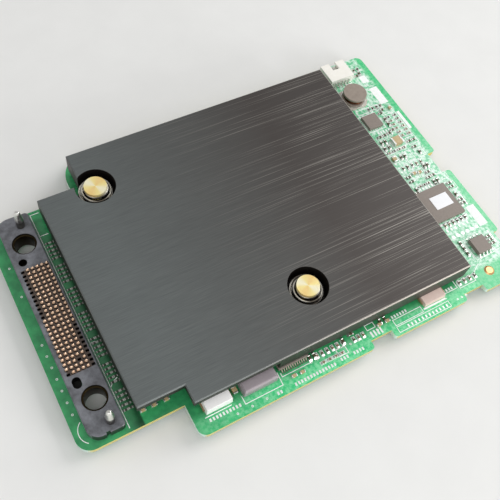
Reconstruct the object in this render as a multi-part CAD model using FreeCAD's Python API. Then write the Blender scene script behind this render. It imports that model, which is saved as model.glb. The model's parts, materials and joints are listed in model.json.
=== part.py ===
"""Storage controller card: a circuit board with a sprung heatsink plate and a compression connector.

All sizes are in millimetres. X runs along the card's long side, Y from its front edge to its rear
edge and Z up. The origin is the centre of the board's outline, at the level of the push pins' tips,
on which the card stands.
"""

import FreeCAD, Part
import math
import os
from FreeCAD import Vector

# ---- Levels ----
TIP_DROP = 2.4                # push pin tip below the board's underside
BOARD_THICKNESS = 1.6
PLATE_LIFT = 1.7              # board's top face to the plate's underside
PLATE_THICKNESS = 6.0
PLATE_WEB = 2.2               # plate left above the relief pocket

# ---- Heatsink plate ----
PLATE_WIDTH = 96.0
PLATE_DEPTH = 78.2
PLATE_CHAMFER = 0.35
REAR_NOTCH_WIDTH = 12.1
REAR_NOTCH_DEPTH = 10.6
FRONT_STEP_WIDTH = 12.2
FRONT_STEP_DEPTH = 4.9
POCKET_WIDTH = 36.0           # relief pocket for the tall parts at the front left
POCKET_DEPTH = 9.6

# ---- Push pins and springs ----
PIN_BORE_RADIUS = 5.5         # counterbore that holds the spring
PIN_LEDGE = 1.4               # plate left under the spring
PIN_HEAD_RADIUS = 3.1
PIN_HEAD_HEIGHT = 1.0
PIN_SHANK_RADIUS = 1.35
PIN_BARB_RADIUS = 2.1
PIN_TIP_RADIUS = 0.7
PIN_SLOT_WIDTH = 0.5          # slot that lets the barb close
PIN_SLOT_DEPTH = 1.9
PIN_CLEARANCE = 0.3
REAR_PIN_FROM_NOTCH = (3.4, 2.0)
FRONT_PIN_FROM_CORNER = (52.3, 14.5)
SPRING_WIRE_RADIUS = 0.24
SPRING_TOP_RADIUS = 2.75
SPRING_FOOT_RADIUS = 4.5
SPRING_TURNS = 4
SPRING_RUNS = 8               # straight runs of wire in one turn
SPRING_SIDES = 5              # faces round the wire
TOUCHING = 1e-6               # points nearer than this are one point

# ---- Circuit board outline ----
RIGHT_STRIP = 20.75           # board to the right of the plate
FRONT_STRIP = 6.3             # board in front of the plate
REAR_STRIP = 5.3              # board behind the plate
STEP_RIGHT_OF_PLATE_EDGE = 11.3
REAR_STEP_RIGHT_OF_PLATE_EDGE = 10.4
CORNER_RADIUS = 3.8
STEP_RADIUS = 2.4
REAR_STEP_RADIUS = 9.0
REAR_CORNER_RADIUS = 2.0
NOTCH_RADIUS = 1.0
SHARP = 0                     # radius of a corner that is left square
FRONT_NOTCHES = ((54.6, 6.8, 2.3), (23.0, 6.9, 2.0))     # left end from the right edge, width, depth
SIDE_NOTCHES = ((14.3, 7.2, 2.0), (46.2, 7.7, 2.9))      # rear end from the front edge, width, depth

# ---- Compression connector ----
CONTACT_PITCH = 1.27
CONTACT_ROWS = 25
CONTACT_COLUMNS = 6
CAVITY_WIDTH = 0.9
CAVITY_LENGTH = 0.7
CAVITY_DEPTH = 1.6
CONTACT_WIDTH = 0.46
CONTACT_SIDE_GAP = 0.08       # contact to its cavity's right wall
CONTACT_FOOT = 0.42           # contact's thickness on the cavity's floor
CONTACT_RISE = 0.42           # contact's tip above the housing
CONTACT_NOSE_INSET = 0.6      # nose left of the contact's right face
KEY_COLUMN = 3                # the one empty cavity inside the field
KEY_ROWS_FROM_FRONT = 3
FIELD_OFFSET = 0.25           # contact field right of the housing's centre
EMPTY_LEFT_REAR = 12          # empty cavities at the rear of the left column
EMPTY_RIGHT_FRONT = 10        # empty cavities at the front of the right column
HOUSING_WIDTH = 8.8
HOUSING_HEIGHT = 2.9
HOUSING_LEFT_RADIUS = 3.2
HOUSING_RIGHT_RADIUS = 1.0
HOUSING_CHAMFER = 0.25
HOUSING_EDGE_GAP = 3.05       # housing to the board's left edge
HOUSING_PLATE_GAP = 3.1       # housing to the plate's left edge
HOUSING_FROM_FRONT = 10.3     # housing's front end from the board's front edge
HOUSING_END_GAP = 1.3         # housing's ends to the ends of the board's left strip
END_MARK_WIDTH = 1.0
END_MARK_DEPTH = 0.5
LOCATOR_GAP = 2.7             # last contact row to the locating holes
LOCATOR_RADIUS = 1.1
LOCATOR_SLOT = 0.8            # extra length of the front locating hole
LOCATOR_OFFSET = 1.9          # left of the housing's centre
LOCATOR_TO_SCREW = 5.2
SCREW_OFFSET = 0.4            # right of the housing's centre
SCREW_TO_END = 9.15
GUIDE_OFFSET = 1.5            # right of the housing's centre
FRONT_SCREW_TO_GUIDE = 6.6
REAR_SCREW_TO_GUIDE = 5.6
BUSHING_BORE = 2.65
BUSHING_WALL = 0.5
BUSHING_FOOT = 0.8            # how far it stands below the board
BUSHING_RECESS = 0.5          # bushing's top below the housing's top
PRESS_GAP = 0.03
GUIDE_RADIUS = 1.1
GUIDE_TIP_RADIUS = 0.5
GUIDE_STRAIGHT = 3.4
GUIDE_TAPER = 3.1
GUIDE_COLLAR_RADIUS = 1.4     # collar pressed into the housing, flush with its top

# ---- Chips under the plate ----
PAD_THICKNESS = 0.4
PAD_INSET = 1.0
CONTROLLER_SIZE = 29.0
CONTROLLER_SUBSTRATE = 0.5
CONTROLLER_LID_INSET = 3.0
CONTROLLER_FROM_CENTRE = (12.0, -2.0)
MEMORY_WIDTH = 9.0
MEMORY_LENGTH = 12.5
MEMORY_COUNT = 5
MEMORY_PITCH = 11.6
MEMORY_FROM_REAR = 9.5

# ---- Chips and coils beside the plate: (right of the plate, behind the board's front edge) ----
DRUM_PLACE = (8.1, 74.5)
DRUM_RADIUS = 3.8
DRUM_CORE_RADIUS = 2.2
DRUM_WINDING_RADIUS = 3.3
DRUM_WINDING_SIDES = 12
DRUM_HEIGHT = 3.0
DRUM_FLANGE = 0.7
DRUM_BASE_SIZE = 8.2
DRUM_BASE_HEIGHT = 0.5
DRUM_BASE_CORNER = 1.6
POWER_CHIP_PLACE = (8.4, 63.9)
POWER_CHIP_SIZE = 5.2
FLASH_PLACE = (9.3, 29.3)
FLASH_SIZE = 11.2
CHIP_HEIGHT = 1.1
CHIP_DRAFT = 0.12
LABEL_FROM_FLASH = (0.9, 0.3)
LABEL_SIZE = (6.2, 4.4)
LABEL_THICKNESS = 0.1
SOIC_PLACE = (11.6, 12.5)
SOIC_BODY = (5.0, 5.2)
SOIC_HEIGHT = 1.5
SOIC_PITCH = 1.27
SOIC_LEAD_COUNT = 4
SOIC_LEAD_WIDTH = 0.42
FINE_CHIP_BODY = (8.8, 4.4)
FINE_CHIP_HEIGHT = 1.0
FINE_CHIP_PITCH = 0.65
FINE_CHIP_LEAD_COUNT = 12
FINE_CHIP_LEAD_WIDTH = 0.28
FINE_CHIP_FROM_POCKET = 4.4
FINE_CHIP_SETBACK = 6.0       # its front face from the board's front edge
LEAD_THICKNESS = 0.15
LEAD_REACH = 1.0
LEAD_FOOT = 0.5
GROUND_PAD_PLACE = (9.25, 4.8)
GROUND_PAD_RADIUS = 1.55
GROUND_PAD_CROWN = 1.0        # flat top of the low dome
GROUND_PAD_HEIGHT = 0.3

# ---- Battery connector ----
BATTERY_PLACE = (8.2, 85.1)
BATTERY_SIZE = (8.6, 7.2, 3.0)
BATTERY_WALL = 0.7
BATTERY_BACK_WALL = 1.8
BATTERY_LATCH_WIDTH = 2.4
BATTERY_LATCH_LENGTH = 3.0
BATTERY_PIN_COUNT = 5
BATTERY_PIN_PITCH = 1.25
BATTERY_PIN_SIZE = 0.4
BATTERY_PIN_LENGTH = 4.6
BATTERY_TAIL = 1.1

# ---- Power parts at the front ----
INDUCTOR_SIZE = (9.6, 9.4, 3.0)
INDUCTOR_SETBACK = 4.1        # from the board's front edge
INDUCTOR_FROM_POCKET_END = 6.2
INDUCTOR_BEVEL = 0.5
BLOCK_SIZE = (7.3, 4.3)
LEFT_BLOCK_HEIGHT = 2.6
RIGHT_BLOCK_HEIGHT = 1.4      # low enough to reach under the plate
LEFT_BLOCK_SETBACK = 4.4
RIGHT_BLOCK_SETBACK = 3.7
BLOCK_DRAFT = 0.2
BLOCK_TERMINAL = 0.3
BLOCK_TERMINAL_WIDTH = 2.4
BLOCK_TERMINAL_HEIGHT = 0.9
LEFT_BLOCK_FROM_INDUCTOR = 2.9
RIGHT_BLOCK_FROM_EDGE = 11.4  # its centre left of the plate's right edge

# ---- Small chips: length, width, height and, on the larger ones, each terminal's length ----
CHIP_0402 = (1.0, 0.5, 0.4)
CHIP_0603 = (1.6, 0.8, 0.7, 0.35)
CHIP_0805 = (2.0, 1.25, 0.9, 0.45)
CHIP_1210 = (3.6, 2.8, 1.3, 0.6)
TERMINAL_SKIN = 0.03          # how far a terminal stands proud of its body

# Rows of small chips beside the plate: first chip (right of the plate, behind the board's front edge),
# the row's length, its pitch, quarter turns of a chip
ALONG_X = (
    (10.6, 68.7, 4.8, 1.5, 1), (6.6, 51.4, 6.0, 1.9, 0), (7.2, 44.6, 7.0, 1.7, 1),
    (8.0, 37.0, 3.4, 1.6, 0), (6.6, 22.2, 7.7, 1.5, 1), (13.8, 85.0, 3.4, 1.6, 1),
)
ALONG_Y = ((14.6, 55.6, 8.2, 1.6, 0), (17.2, 55.6, 8.2, 1.6, 0))
# Rows before the plate, as above but placed from its right edge
BY_CORNER = ((-1.4, 5.4, 5.9, 1.9, 1), (-37.8, 4.6, 3.2, 1.5, 1))
# Rows before the plate that fill what is free: start right of the pocket, end left of the plate's
# right edge, distance behind the board's front edge, pitch, quarter turns
FILLING = ((11.0, 40.6, 5.2, 1.6, 1), (11.6, 42.3, 2.9, 1.9, 0))
# Larger chips: place, size, quarter turns
BESIDE_CHIPS = (
    ((17.3, 66.5), CHIP_0603, 1), ((11.3, 54.2), CHIP_1210, 0), ((6.5, 48.6), CHIP_0805, 1),
    ((11.0, 41.4), CHIP_0603, 0), ((9.1, 41.7), CHIP_0603, 0),
    ((-29.4, 5.0), CHIP_0603, 0), ((-26.8, 5.0), CHIP_0603, 0),
)
LEFT_CHIPS = (((1.9, 12.4), CHIP_0603, 0), ((4.8, 12.4), CHIP_0603, 0), ((8.0, 12.3), CHIP_0603, 0))
POCKET_CHIPS = (((2.9, 3.2), CHIP_0603, 0), ((5.3, 3.1), CHIP_0603, 0))
COIL_CHIP_GAP = 0.7           # chip between the power inductor and the block capacitor
COIL_CHIP_SETBACK = 6.8


# ---- Places worked out from the sizes above ----
LEFT_STRIP = HOUSING_EDGE_GAP + HOUSING_WIDTH + HOUSING_PLATE_GAP
BOARD_WIDTH = LEFT_STRIP + PLATE_WIDTH + RIGHT_STRIP
BOARD_DEPTH = FRONT_STRIP + PLATE_DEPTH + REAR_STRIP
LEFT = -BOARD_WIDTH / 2
RIGHT = BOARD_WIDTH / 2
FRONT = -BOARD_DEPTH / 2
REAR = BOARD_DEPTH / 2
PLATE_LEFT = LEFT + LEFT_STRIP
PLATE_RIGHT = RIGHT - RIGHT_STRIP
PLATE_FRONT = FRONT + FRONT_STRIP
PLATE_REAR = REAR - REAR_STRIP
POCKET_END = PLATE_LEFT + POCKET_WIDTH

BOARD_BOTTOM = TIP_DROP
BOARD_TOP = BOARD_BOTTOM + BOARD_THICKNESS
PLATE_BOTTOM = BOARD_TOP + PLATE_LIFT
PLATE_TOP = PLATE_BOTTOM + PLATE_THICKNESS
LEDGE_TOP = PLATE_BOTTOM + PIN_LEDGE
HEAD_BOTTOM = PLATE_TOP - PIN_HEAD_HEIGHT
HOUSING_TOP = BOARD_TOP + HOUSING_HEIGHT

REAR_PIN = (PLATE_LEFT + REAR_NOTCH_WIDTH + REAR_PIN_FROM_NOTCH[0],
            PLATE_REAR - REAR_NOTCH_DEPTH - REAR_PIN_FROM_NOTCH[1])
FRONT_PIN = (PLATE_LEFT + FRONT_PIN_FROM_CORNER[0], PLATE_FRONT + FRONT_PIN_FROM_CORNER[1])

FIELD_LENGTH = (CONTACT_ROWS - 1) * CONTACT_PITCH
LOCATOR_SPAN = FIELD_LENGTH / 2 + LOCATOR_GAP
SCREW_SPAN = LOCATOR_SPAN + LOCATOR_TO_SCREW
HOUSING_LENGTH = 2 * (SCREW_SPAN + SCREW_TO_END)
HOUSING_X = LEFT + HOUSING_EDGE_GAP + HOUSING_WIDTH / 2
HOUSING_Y = FRONT + HOUSING_FROM_FRONT + HOUSING_LENGTH / 2
FRONT_SCREW = (HOUSING_X + SCREW_OFFSET, HOUSING_Y - SCREW_SPAN)
REAR_SCREW = (HOUSING_X + SCREW_OFFSET, HOUSING_Y + SCREW_SPAN)
FRONT_GUIDE = (HOUSING_X + GUIDE_OFFSET, FRONT_SCREW[1] - FRONT_SCREW_TO_GUIDE)
REAR_GUIDE = (HOUSING_X + GUIDE_OFFSET, REAR_SCREW[1] + REAR_SCREW_TO_GUIDE)
BUSHING_RADIUS = BUSHING_BORE + BUSHING_WALL

CONTROLLER = ((PLATE_LEFT + PLATE_RIGHT) / 2 + CONTROLLER_FROM_CENTRE[0],
              (PLATE_FRONT + PLATE_REAR) / 2 + CONTROLLER_FROM_CENTRE[1])
INDUCTOR = (POCKET_END - INDUCTOR_FROM_POCKET_END,
            FRONT + INDUCTOR_SETBACK + INDUCTOR_SIZE[1] / 2)
LEFT_BLOCK = (INDUCTOR[0] - INDUCTOR_SIZE[0] / 2 - LEFT_BLOCK_FROM_INDUCTOR - BLOCK_SIZE[0] / 2,
              FRONT + LEFT_BLOCK_SETBACK + BLOCK_SIZE[1] / 2)
RIGHT_BLOCK = (PLATE_RIGHT - RIGHT_BLOCK_FROM_EDGE, FRONT + RIGHT_BLOCK_SETBACK + BLOCK_SIZE[1] / 2)


# ---- Shared shapes ----
def rounded_outline(corners, level):
    """A closed wire at one level through (x, y, radius) corners, each rounded by its own arc."""
    points = [Vector(x, y, level) for x, y, radius in corners]
    arcs = []
    for index, (x, y, radius) in enumerate(corners):
        here = points[index]
        back = (points[index - 1] - here).normalize()
        ahead = (points[(index + 1) % len(points)] - here).normalize()
        half = back.getAngle(ahead) / 2
        reach = radius / math.tan(half)
        inward = (back + ahead).normalize()
        middle = here + inward * (radius / math.sin(half) - radius)
        arcs.append((here + back * reach, middle, here + ahead * reach))
    edges = []
    for index, (start, middle, end) in enumerate(arcs):
        if start.distanceToPoint(end) > TOUCHING:
            edges.append(Part.Arc(start, middle, end).toShape())
        next_start = arcs[(index + 1) % len(arcs)][0]
        if end.distanceToPoint(next_start) > TOUCHING:
            edges.append(Part.LineSegment(end, next_start).toShape())
    return Part.Wire(edges)


def slab(corners, level, height):
    """A plate of the given height whose outline runs through rounded corners."""
    return Part.Face(rounded_outline(corners, level)).extrude(Vector(0, 0, height))


def polygon_face(points):
    """A flat face with straight sides through the given points."""
    return Part.Face(Part.makePolygon(points + points[:1]))


def block(x, y, base, width, depth, height):
    """An upright block centred on (x, y)."""
    return Part.makeBox(width, depth, height, Vector(x - width / 2, y - depth / 2, base))


def rod(x, y, base, radius, height):
    """An upright cylinder centred on (x, y)."""
    return Part.makeCylinder(radius, height, Vector(x, y, base))


def turned(x, y, outline):
    """A body of revolution about the upright axis through (x, y), from (radius, level) points."""
    face = polygon_face([Vector(x + radius, y, level) for radius, level in outline])
    return face.revolve(Vector(x, y, 0), Vector(0, 0, 1), 360)


def drafted(x, y, base, width, depth, height, draft):
    """A moulded block whose sides lean in by the draft towards its top."""
    sections = []
    for level, inset in ((base, 0), (base + height, draft)):
        corners = []
        for side_x, side_y in ((-1, -1), (1, -1), (1, 1), (-1, 1)):
            corners.append(Vector(x + side_x * (width / 2 - inset), y + side_y * (depth / 2 - inset), level))
        sections.append(Part.makePolygon(corners + corners[:1]))
    return Part.makeLoft(sections, True, True)


def quarter_turns(shape, x, y, turns):
    """The shape turned about the upright axis through (x, y) by quarter turns."""
    shape.rotate(Vector(x, y, 0), Vector(0, 0, 1), 90 * turns)
    return shape


def beside(place):
    """A place given from the plate's right edge and the board's front edge."""
    return (PLATE_RIGHT + place[0], FRONT + place[1])


def save(name, shape):
    """Write one sub-part."""
    shape.exportStep(os.path.join("parts", name + ".step"))


# ---- Circuit board ----
def front_notch(from_right, width, depth):
    """Corners of a notch cut into the board's front edge, from left to right."""
    start = RIGHT - from_right
    end = start + width
    return [
        (start, FRONT, NOTCH_RADIUS),
        (start, FRONT + depth, SHARP),
        (end, FRONT + depth, SHARP),
        (end, FRONT, NOTCH_RADIUS),
    ]


def side_notch(rear_end, width, depth):
    """Corners of a notch cut into the board's right edge, from front to rear."""
    end = FRONT + rear_end
    start = end - width
    return [
        (RIGHT, start, NOTCH_RADIUS),
        (RIGHT - depth, start, SHARP),
        (RIGHT - depth, end, SHARP),
        (RIGHT, end, NOTCH_RADIUS),
    ]


def make_board():
    """The circuit board: a strip for the connector, a deeper main area and notched free edges."""
    strip_front = HOUSING_Y - HOUSING_LENGTH / 2 - HOUSING_END_GAP
    strip_rear = HOUSING_Y + HOUSING_LENGTH / 2 + HOUSING_END_GAP
    front_step = PLATE_LEFT + STEP_RIGHT_OF_PLATE_EDGE
    rear_step = PLATE_LEFT + REAR_STEP_RIGHT_OF_PLATE_EDGE
    corners = [
        (LEFT, strip_front, CORNER_RADIUS),
        (front_step, strip_front, SHARP),
        (front_step, FRONT, STEP_RADIUS),
    ]
    for notch in FRONT_NOTCHES:
        corners += front_notch(*notch)
    corners.append((RIGHT, FRONT, CORNER_RADIUS))
    for notch in SIDE_NOTCHES:
        corners += side_notch(*notch)
    corners += [
        (RIGHT, REAR, REAR_CORNER_RADIUS),
        (rear_step, REAR, REAR_STEP_RADIUS),
        (rear_step, strip_rear, SHARP),
        (LEFT, strip_rear, CORNER_RADIUS),
    ]
    board = slab(corners, BOARD_BOTTOM, BOARD_THICKNESS)
    holes = []
    for x, y in (FRONT_SCREW, REAR_SCREW):
        holes.append(rod(x, y, BOARD_BOTTOM, BUSHING_RADIUS + PRESS_GAP, BOARD_THICKNESS))
    for x, y in (FRONT_PIN, REAR_PIN):
        holes.append(rod(x, y, BOARD_BOTTOM, PIN_SHANK_RADIUS + PIN_CLEARANCE, BOARD_THICKNESS))
    return board.cut(holes)


# ---- Heatsink plate, push pins and springs ----
def make_plate():
    """The plate: notched at its rear left, stepped at its front left, relieved over the tall parts."""
    left_edge = PLATE_LEFT
    notch_x = left_edge + REAR_NOTCH_WIDTH
    notch_y = PLATE_REAR - REAR_NOTCH_DEPTH
    step_x = left_edge + FRONT_STEP_WIDTH
    step_y = PLATE_FRONT + FRONT_STEP_DEPTH
    outline = [
        (left_edge, step_y), (step_x, step_y), (step_x, PLATE_FRONT), (PLATE_RIGHT, PLATE_FRONT),
        (PLATE_RIGHT, PLATE_REAR), (notch_x, PLATE_REAR), (notch_x, notch_y), (left_edge, notch_y),
    ]
    face = polygon_face([Vector(x, y, PLATE_BOTTOM) for x, y in outline])
    plate = face.extrude(Vector(0, 0, PLATE_THICKNESS))
    rim = [edge for edge in plate.Edges
           if all(abs(vertex.Z - PLATE_TOP) < TOUCHING for vertex in edge.Vertexes)]
    plate = plate.makeChamfer(PLATE_CHAMFER, rim)
    pocket = Part.makeBox(POCKET_WIDTH, POCKET_DEPTH, PLATE_THICKNESS - PLATE_WEB,
                          Vector(left_edge, PLATE_FRONT, PLATE_BOTTOM))
    cuts = [pocket]
    for x, y in (FRONT_PIN, REAR_PIN):
        cuts.append(rod(x, y, LEDGE_TOP, PIN_BORE_RADIUS, PLATE_TOP - LEDGE_TOP))
        cuts.append(rod(x, y, PLATE_BOTTOM, PIN_SHANK_RADIUS + PIN_CLEARANCE, PIN_LEDGE))
    return plate.cut(cuts)


def make_push_pin(x, y):
    """A turned push pin: head, shank and a slotted barb that snaps under the board."""
    pin = turned(x, y, [
        (0, 0), (PIN_TIP_RADIUS, 0), (PIN_BARB_RADIUS, BOARD_BOTTOM),
        (PIN_SHANK_RADIUS, BOARD_BOTTOM), (PIN_SHANK_RADIUS, HEAD_BOTTOM), (PIN_HEAD_RADIUS, HEAD_BOTTOM),
        (PIN_HEAD_RADIUS, PLATE_TOP), (0, PLATE_TOP),
    ])
    slot = block(x, y, 0, 2 * PIN_BARB_RADIUS, PIN_SLOT_WIDTH, PIN_SLOT_DEPTH)
    return pin.cut(slot)


def make_spring(x, y):
    """A conical compression spring that stands on the plate's ledge and narrows to the pin's head."""
    height = HEAD_BOTTOM - LEDGE_TOP - 2 * SPRING_WIRE_RADIUS
    steps = SPRING_TURNS * SPRING_RUNS
    path = []
    for step in range(steps + 1):
        share = step / steps
        radius = SPRING_FOOT_RADIUS + (SPRING_TOP_RADIUS - SPRING_FOOT_RADIUS) * share
        turn = 2 * math.pi * step / SPRING_RUNS
        path.append(Vector(x + radius * math.cos(turn), y + radius * math.sin(turn),
                           LEDGE_TOP + SPRING_WIRE_RADIUS + height * share))
    outward = (path[0] - Vector(x, y, path[0].z)).normalize()
    upward = (path[1] - path[0]).cross(outward).normalize() * -1
    ring = []
    for side in range(SPRING_SIDES):
        turn = 2 * math.pi * side / SPRING_SIDES
        ring.append(path[0] + (outward * math.cos(turn) + upward * math.sin(turn)) * SPRING_WIRE_RADIUS)
    section = Part.makePolygon(ring + ring[:1])
    return Part.makePolygon(path).makePipeShell([section], True, False, 1)


# ---- Compression connector ----
def contact_places():
    """Each cavity's (x, y) and whether it holds a contact, column by column from the left."""
    places = []
    for column in range(CONTACT_COLUMNS):
        for row in range(CONTACT_ROWS):
            x = HOUSING_X + FIELD_OFFSET + (column - (CONTACT_COLUMNS - 1) / 2) * CONTACT_PITCH
            y = HOUSING_Y + FIELD_LENGTH / 2 - row * CONTACT_PITCH
            left_gap = column == 0 and (row < EMPTY_LEFT_REAR or row == CONTACT_ROWS - 1)
            right_gap = column == CONTACT_COLUMNS - 1 and row >= CONTACT_ROWS - EMPTY_RIGHT_FRONT
            key_gap = column == KEY_COLUMN and row == CONTACT_ROWS - KEY_ROWS_FROM_FRONT
            places.append((x, y, not (left_gap or right_gap or key_gap)))
    return places


def make_housing():
    """The moulded housing: rounded ends, contact cavities, locating holes and screw holes."""
    left = HOUSING_X - HOUSING_WIDTH / 2
    right = HOUSING_X + HOUSING_WIDTH / 2
    front = HOUSING_Y - HOUSING_LENGTH / 2
    rear = HOUSING_Y + HOUSING_LENGTH / 2
    corners = [
        (left, front, HOUSING_LEFT_RADIUS), (right, front, HOUSING_RIGHT_RADIUS),
        (right, rear, HOUSING_RIGHT_RADIUS), (left, rear, HOUSING_LEFT_RADIUS),
    ]
    housing = slab(corners, BOARD_TOP, HOUSING_HEIGHT)
    rim = [edge for edge in housing.Edges
           if all(abs(vertex.Z - HOUSING_TOP) < TOUCHING for vertex in edge.Vertexes)]
    housing = housing.makeChamfer(HOUSING_CHAMFER, rim)
    cuts = []
    for x, y, filled in contact_places():
        cuts.append(block(x, y, HOUSING_TOP - CAVITY_DEPTH, CAVITY_WIDTH, CAVITY_LENGTH, CAVITY_DEPTH))
    for x, y in (FRONT_SCREW, REAR_SCREW):
        cuts.append(rod(x, y, BOARD_TOP, BUSHING_RADIUS + PRESS_GAP, HOUSING_HEIGHT))
    for x, y in (FRONT_GUIDE, REAR_GUIDE):
        cuts.append(rod(x, y, BOARD_TOP, GUIDE_COLLAR_RADIUS + PRESS_GAP, HOUSING_HEIGHT))
    locator_x = HOUSING_X - LOCATOR_OFFSET
    cuts.append(rod(locator_x, HOUSING_Y + LOCATOR_SPAN, BOARD_TOP, LOCATOR_RADIUS, HOUSING_HEIGHT))
    slot_centre = HOUSING_Y - LOCATOR_SPAN
    cuts.append(slab([
        (locator_x - LOCATOR_RADIUS, slot_centre - LOCATOR_RADIUS - LOCATOR_SLOT / 2, LOCATOR_RADIUS),
        (locator_x + LOCATOR_RADIUS, slot_centre - LOCATOR_RADIUS - LOCATOR_SLOT / 2, LOCATOR_RADIUS),
        (locator_x + LOCATOR_RADIUS, slot_centre + LOCATOR_RADIUS + LOCATOR_SLOT / 2, LOCATOR_RADIUS),
        (locator_x - LOCATOR_RADIUS, slot_centre + LOCATOR_RADIUS + LOCATOR_SLOT / 2, LOCATOR_RADIUS),
    ], BOARD_TOP, HOUSING_HEIGHT))
    cuts.append(block(HOUSING_X, front, BOARD_TOP, END_MARK_WIDTH, 2 * END_MARK_DEPTH, HOUSING_HEIGHT))
    return housing.cut(cuts)


def make_contacts():
    """The spring contacts: each stands in its cavity and rises in a bent tip above the housing."""
    floor = HOUSING_TOP - CAVITY_DEPTH
    right = CAVITY_WIDTH / 2 - CONTACT_SIDE_GAP
    profile = [
        (right - CONTACT_FOOT, 0), (right, 0), (right, CAVITY_DEPTH),
        (right - CONTACT_NOSE_INSET, CAVITY_DEPTH + CONTACT_RISE),
    ]
    contacts = []
    for x, y, filled in contact_places():
        if filled:
            face = polygon_face([Vector(x + across, y - CONTACT_WIDTH / 2, floor + rise)
                                 for across, rise in profile])
            contacts.append(face.extrude(Vector(0, CONTACT_WIDTH, 0)))
    return Part.makeCompound(contacts)


def make_bushing(x, y):
    """A brass bushing pressed through the board and the housing from below."""
    bottom = BOARD_BOTTOM - BUSHING_FOOT
    top = HOUSING_TOP - BUSHING_RECESS
    return turned(x, y, [
        (BUSHING_BORE, bottom), (BUSHING_RADIUS, bottom), (BUSHING_RADIUS, top), (BUSHING_BORE, top),
    ])


def make_guide_pin(x, y):
    """A steel guide pin: a collar in the housing, a straight shank and a blunt taper."""
    straight = HOUSING_TOP + GUIDE_STRAIGHT
    tip = straight + GUIDE_TAPER
    return turned(x, y, [
        (0, BOARD_TOP), (GUIDE_COLLAR_RADIUS, BOARD_TOP), (GUIDE_COLLAR_RADIUS, HOUSING_TOP),
        (GUIDE_RADIUS, HOUSING_TOP), (GUIDE_RADIUS, straight), (GUIDE_TIP_RADIUS, tip), (0, tip),
    ])


# ---- Chips under the plate ----
def memory_places():
    """Centres of the memory chips in their row behind the controller."""
    middle = (MEMORY_COUNT - 1) / 2
    return [(CONTROLLER[0] + (index - middle) * MEMORY_PITCH, PLATE_REAR - MEMORY_FROM_REAR)
            for index in range(MEMORY_COUNT)]


def make_controller():
    """The controller chip: a square substrate with a stepped lid."""
    substrate = block(*CONTROLLER, BOARD_TOP, CONTROLLER_SIZE, CONTROLLER_SIZE, CONTROLLER_SUBSTRATE)
    lid_size = CONTROLLER_SIZE - 2 * CONTROLLER_LID_INSET
    lid_height = PLATE_LIFT - PAD_THICKNESS - CONTROLLER_SUBSTRATE
    lid = block(*CONTROLLER, BOARD_TOP + CONTROLLER_SUBSTRATE, lid_size, lid_size, lid_height)
    return substrate.fuse(lid).removeSplitter()


def make_thermal_pad(x, y, width, depth):
    """A soft pad that fills the gap between a chip and the plate."""
    return block(x, y, PLATE_BOTTOM - PAD_THICKNESS, width, depth, PAD_THICKNESS)


# ---- Leaded chips ----
def lead_row(x, y, exit_level, count, pitch, width):
    """Gull-wing leads side by side along X, reaching out towards the front from the line y."""
    foot = LEAD_REACH - LEAD_FOOT
    side = [
        (0, exit_level), (foot, 0), (LEAD_REACH, 0), (LEAD_REACH, LEAD_THICKNESS),
        (foot + LEAD_THICKNESS / 2, LEAD_THICKNESS), (0, exit_level + LEAD_THICKNESS),
    ]
    leads = []
    for index in range(count):
        start = x + (index - (count - 1) / 2) * pitch - width / 2
        face = polygon_face([Vector(start, y - out, BOARD_TOP + rise) for out, rise in side])
        leads.append(face.extrude(Vector(width, 0, 0)))
    return leads


def make_leaded_body(x, y, along, across, height):
    """A moulded body that leans in above and below its parting line."""
    stand_off = LEAD_THICKNESS
    half = (height - stand_off) / 2
    lower = drafted(x, y, 0, along, across, half, CHIP_DRAFT)
    lower.rotate(Vector(x, y, 0), Vector(1, 0, 0), 180)
    lower.translate(Vector(0, 0, BOARD_TOP + stand_off + half))
    upper = drafted(x, y, BOARD_TOP + stand_off + half, along, across, half, CHIP_DRAFT)
    return lower.fuse(upper)


def make_leads(x, y, across, height, count, pitch, width):
    """Both rows of leads of a chip, along its front and its rear."""
    leads = []
    for turns in (0, 2):
        for lead in lead_row(x, y - across / 2, height / 2, count, pitch, width):
            leads.append(quarter_turns(lead, x, y, turns))
    return Part.makeCompound(leads)


# ---- Coils and power parts ----
def make_drum_core(x, y):
    """The ferrite spool: a round flange at each end of a core."""
    bottom = BOARD_TOP + DRUM_BASE_HEIGHT
    top = bottom + DRUM_HEIGHT
    return turned(x, y, [
        (0, bottom), (DRUM_RADIUS, bottom), (DRUM_RADIUS, bottom + DRUM_FLANGE),
        (DRUM_CORE_RADIUS, bottom + DRUM_FLANGE), (DRUM_CORE_RADIUS, top - DRUM_FLANGE),
        (DRUM_RADIUS, top - DRUM_FLANGE), (DRUM_RADIUS, top), (0, top),
    ])


def make_drum_winding(x, y):
    """The winding between the spool's flanges, as a many-sided sleeve round its core."""
    bottom = BOARD_TOP + DRUM_BASE_HEIGHT + DRUM_FLANGE
    height = DRUM_HEIGHT - 2 * DRUM_FLANGE
    inner = (DRUM_CORE_RADIUS + PRESS_GAP) / math.cos(math.pi / DRUM_WINDING_SIDES)
    sleeves = []
    for radius in (DRUM_WINDING_RADIUS, inner):
        corners = []
        for side in range(DRUM_WINDING_SIDES):
            turn = 2 * math.pi * side / DRUM_WINDING_SIDES
            corners.append(Vector(x + radius * math.cos(turn), y + radius * math.sin(turn), bottom))
        sleeves.append(polygon_face(corners).extrude(Vector(0, 0, height)))
    return sleeves[0].cut(sleeves[1])


def make_drum_base(x, y):
    """The square base with cut corners that carries the spool."""
    half = DRUM_BASE_SIZE / 2
    near = half - DRUM_BASE_CORNER
    outline = [(half, -near), (half, near), (near, half), (-near, half),
               (-half, near), (-half, -near), (-near, -half), (near, -half)]
    face = polygon_face([Vector(x + along, y + across, BOARD_TOP) for along, across in outline])
    return face.extrude(Vector(0, 0, DRUM_BASE_HEIGHT))


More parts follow.
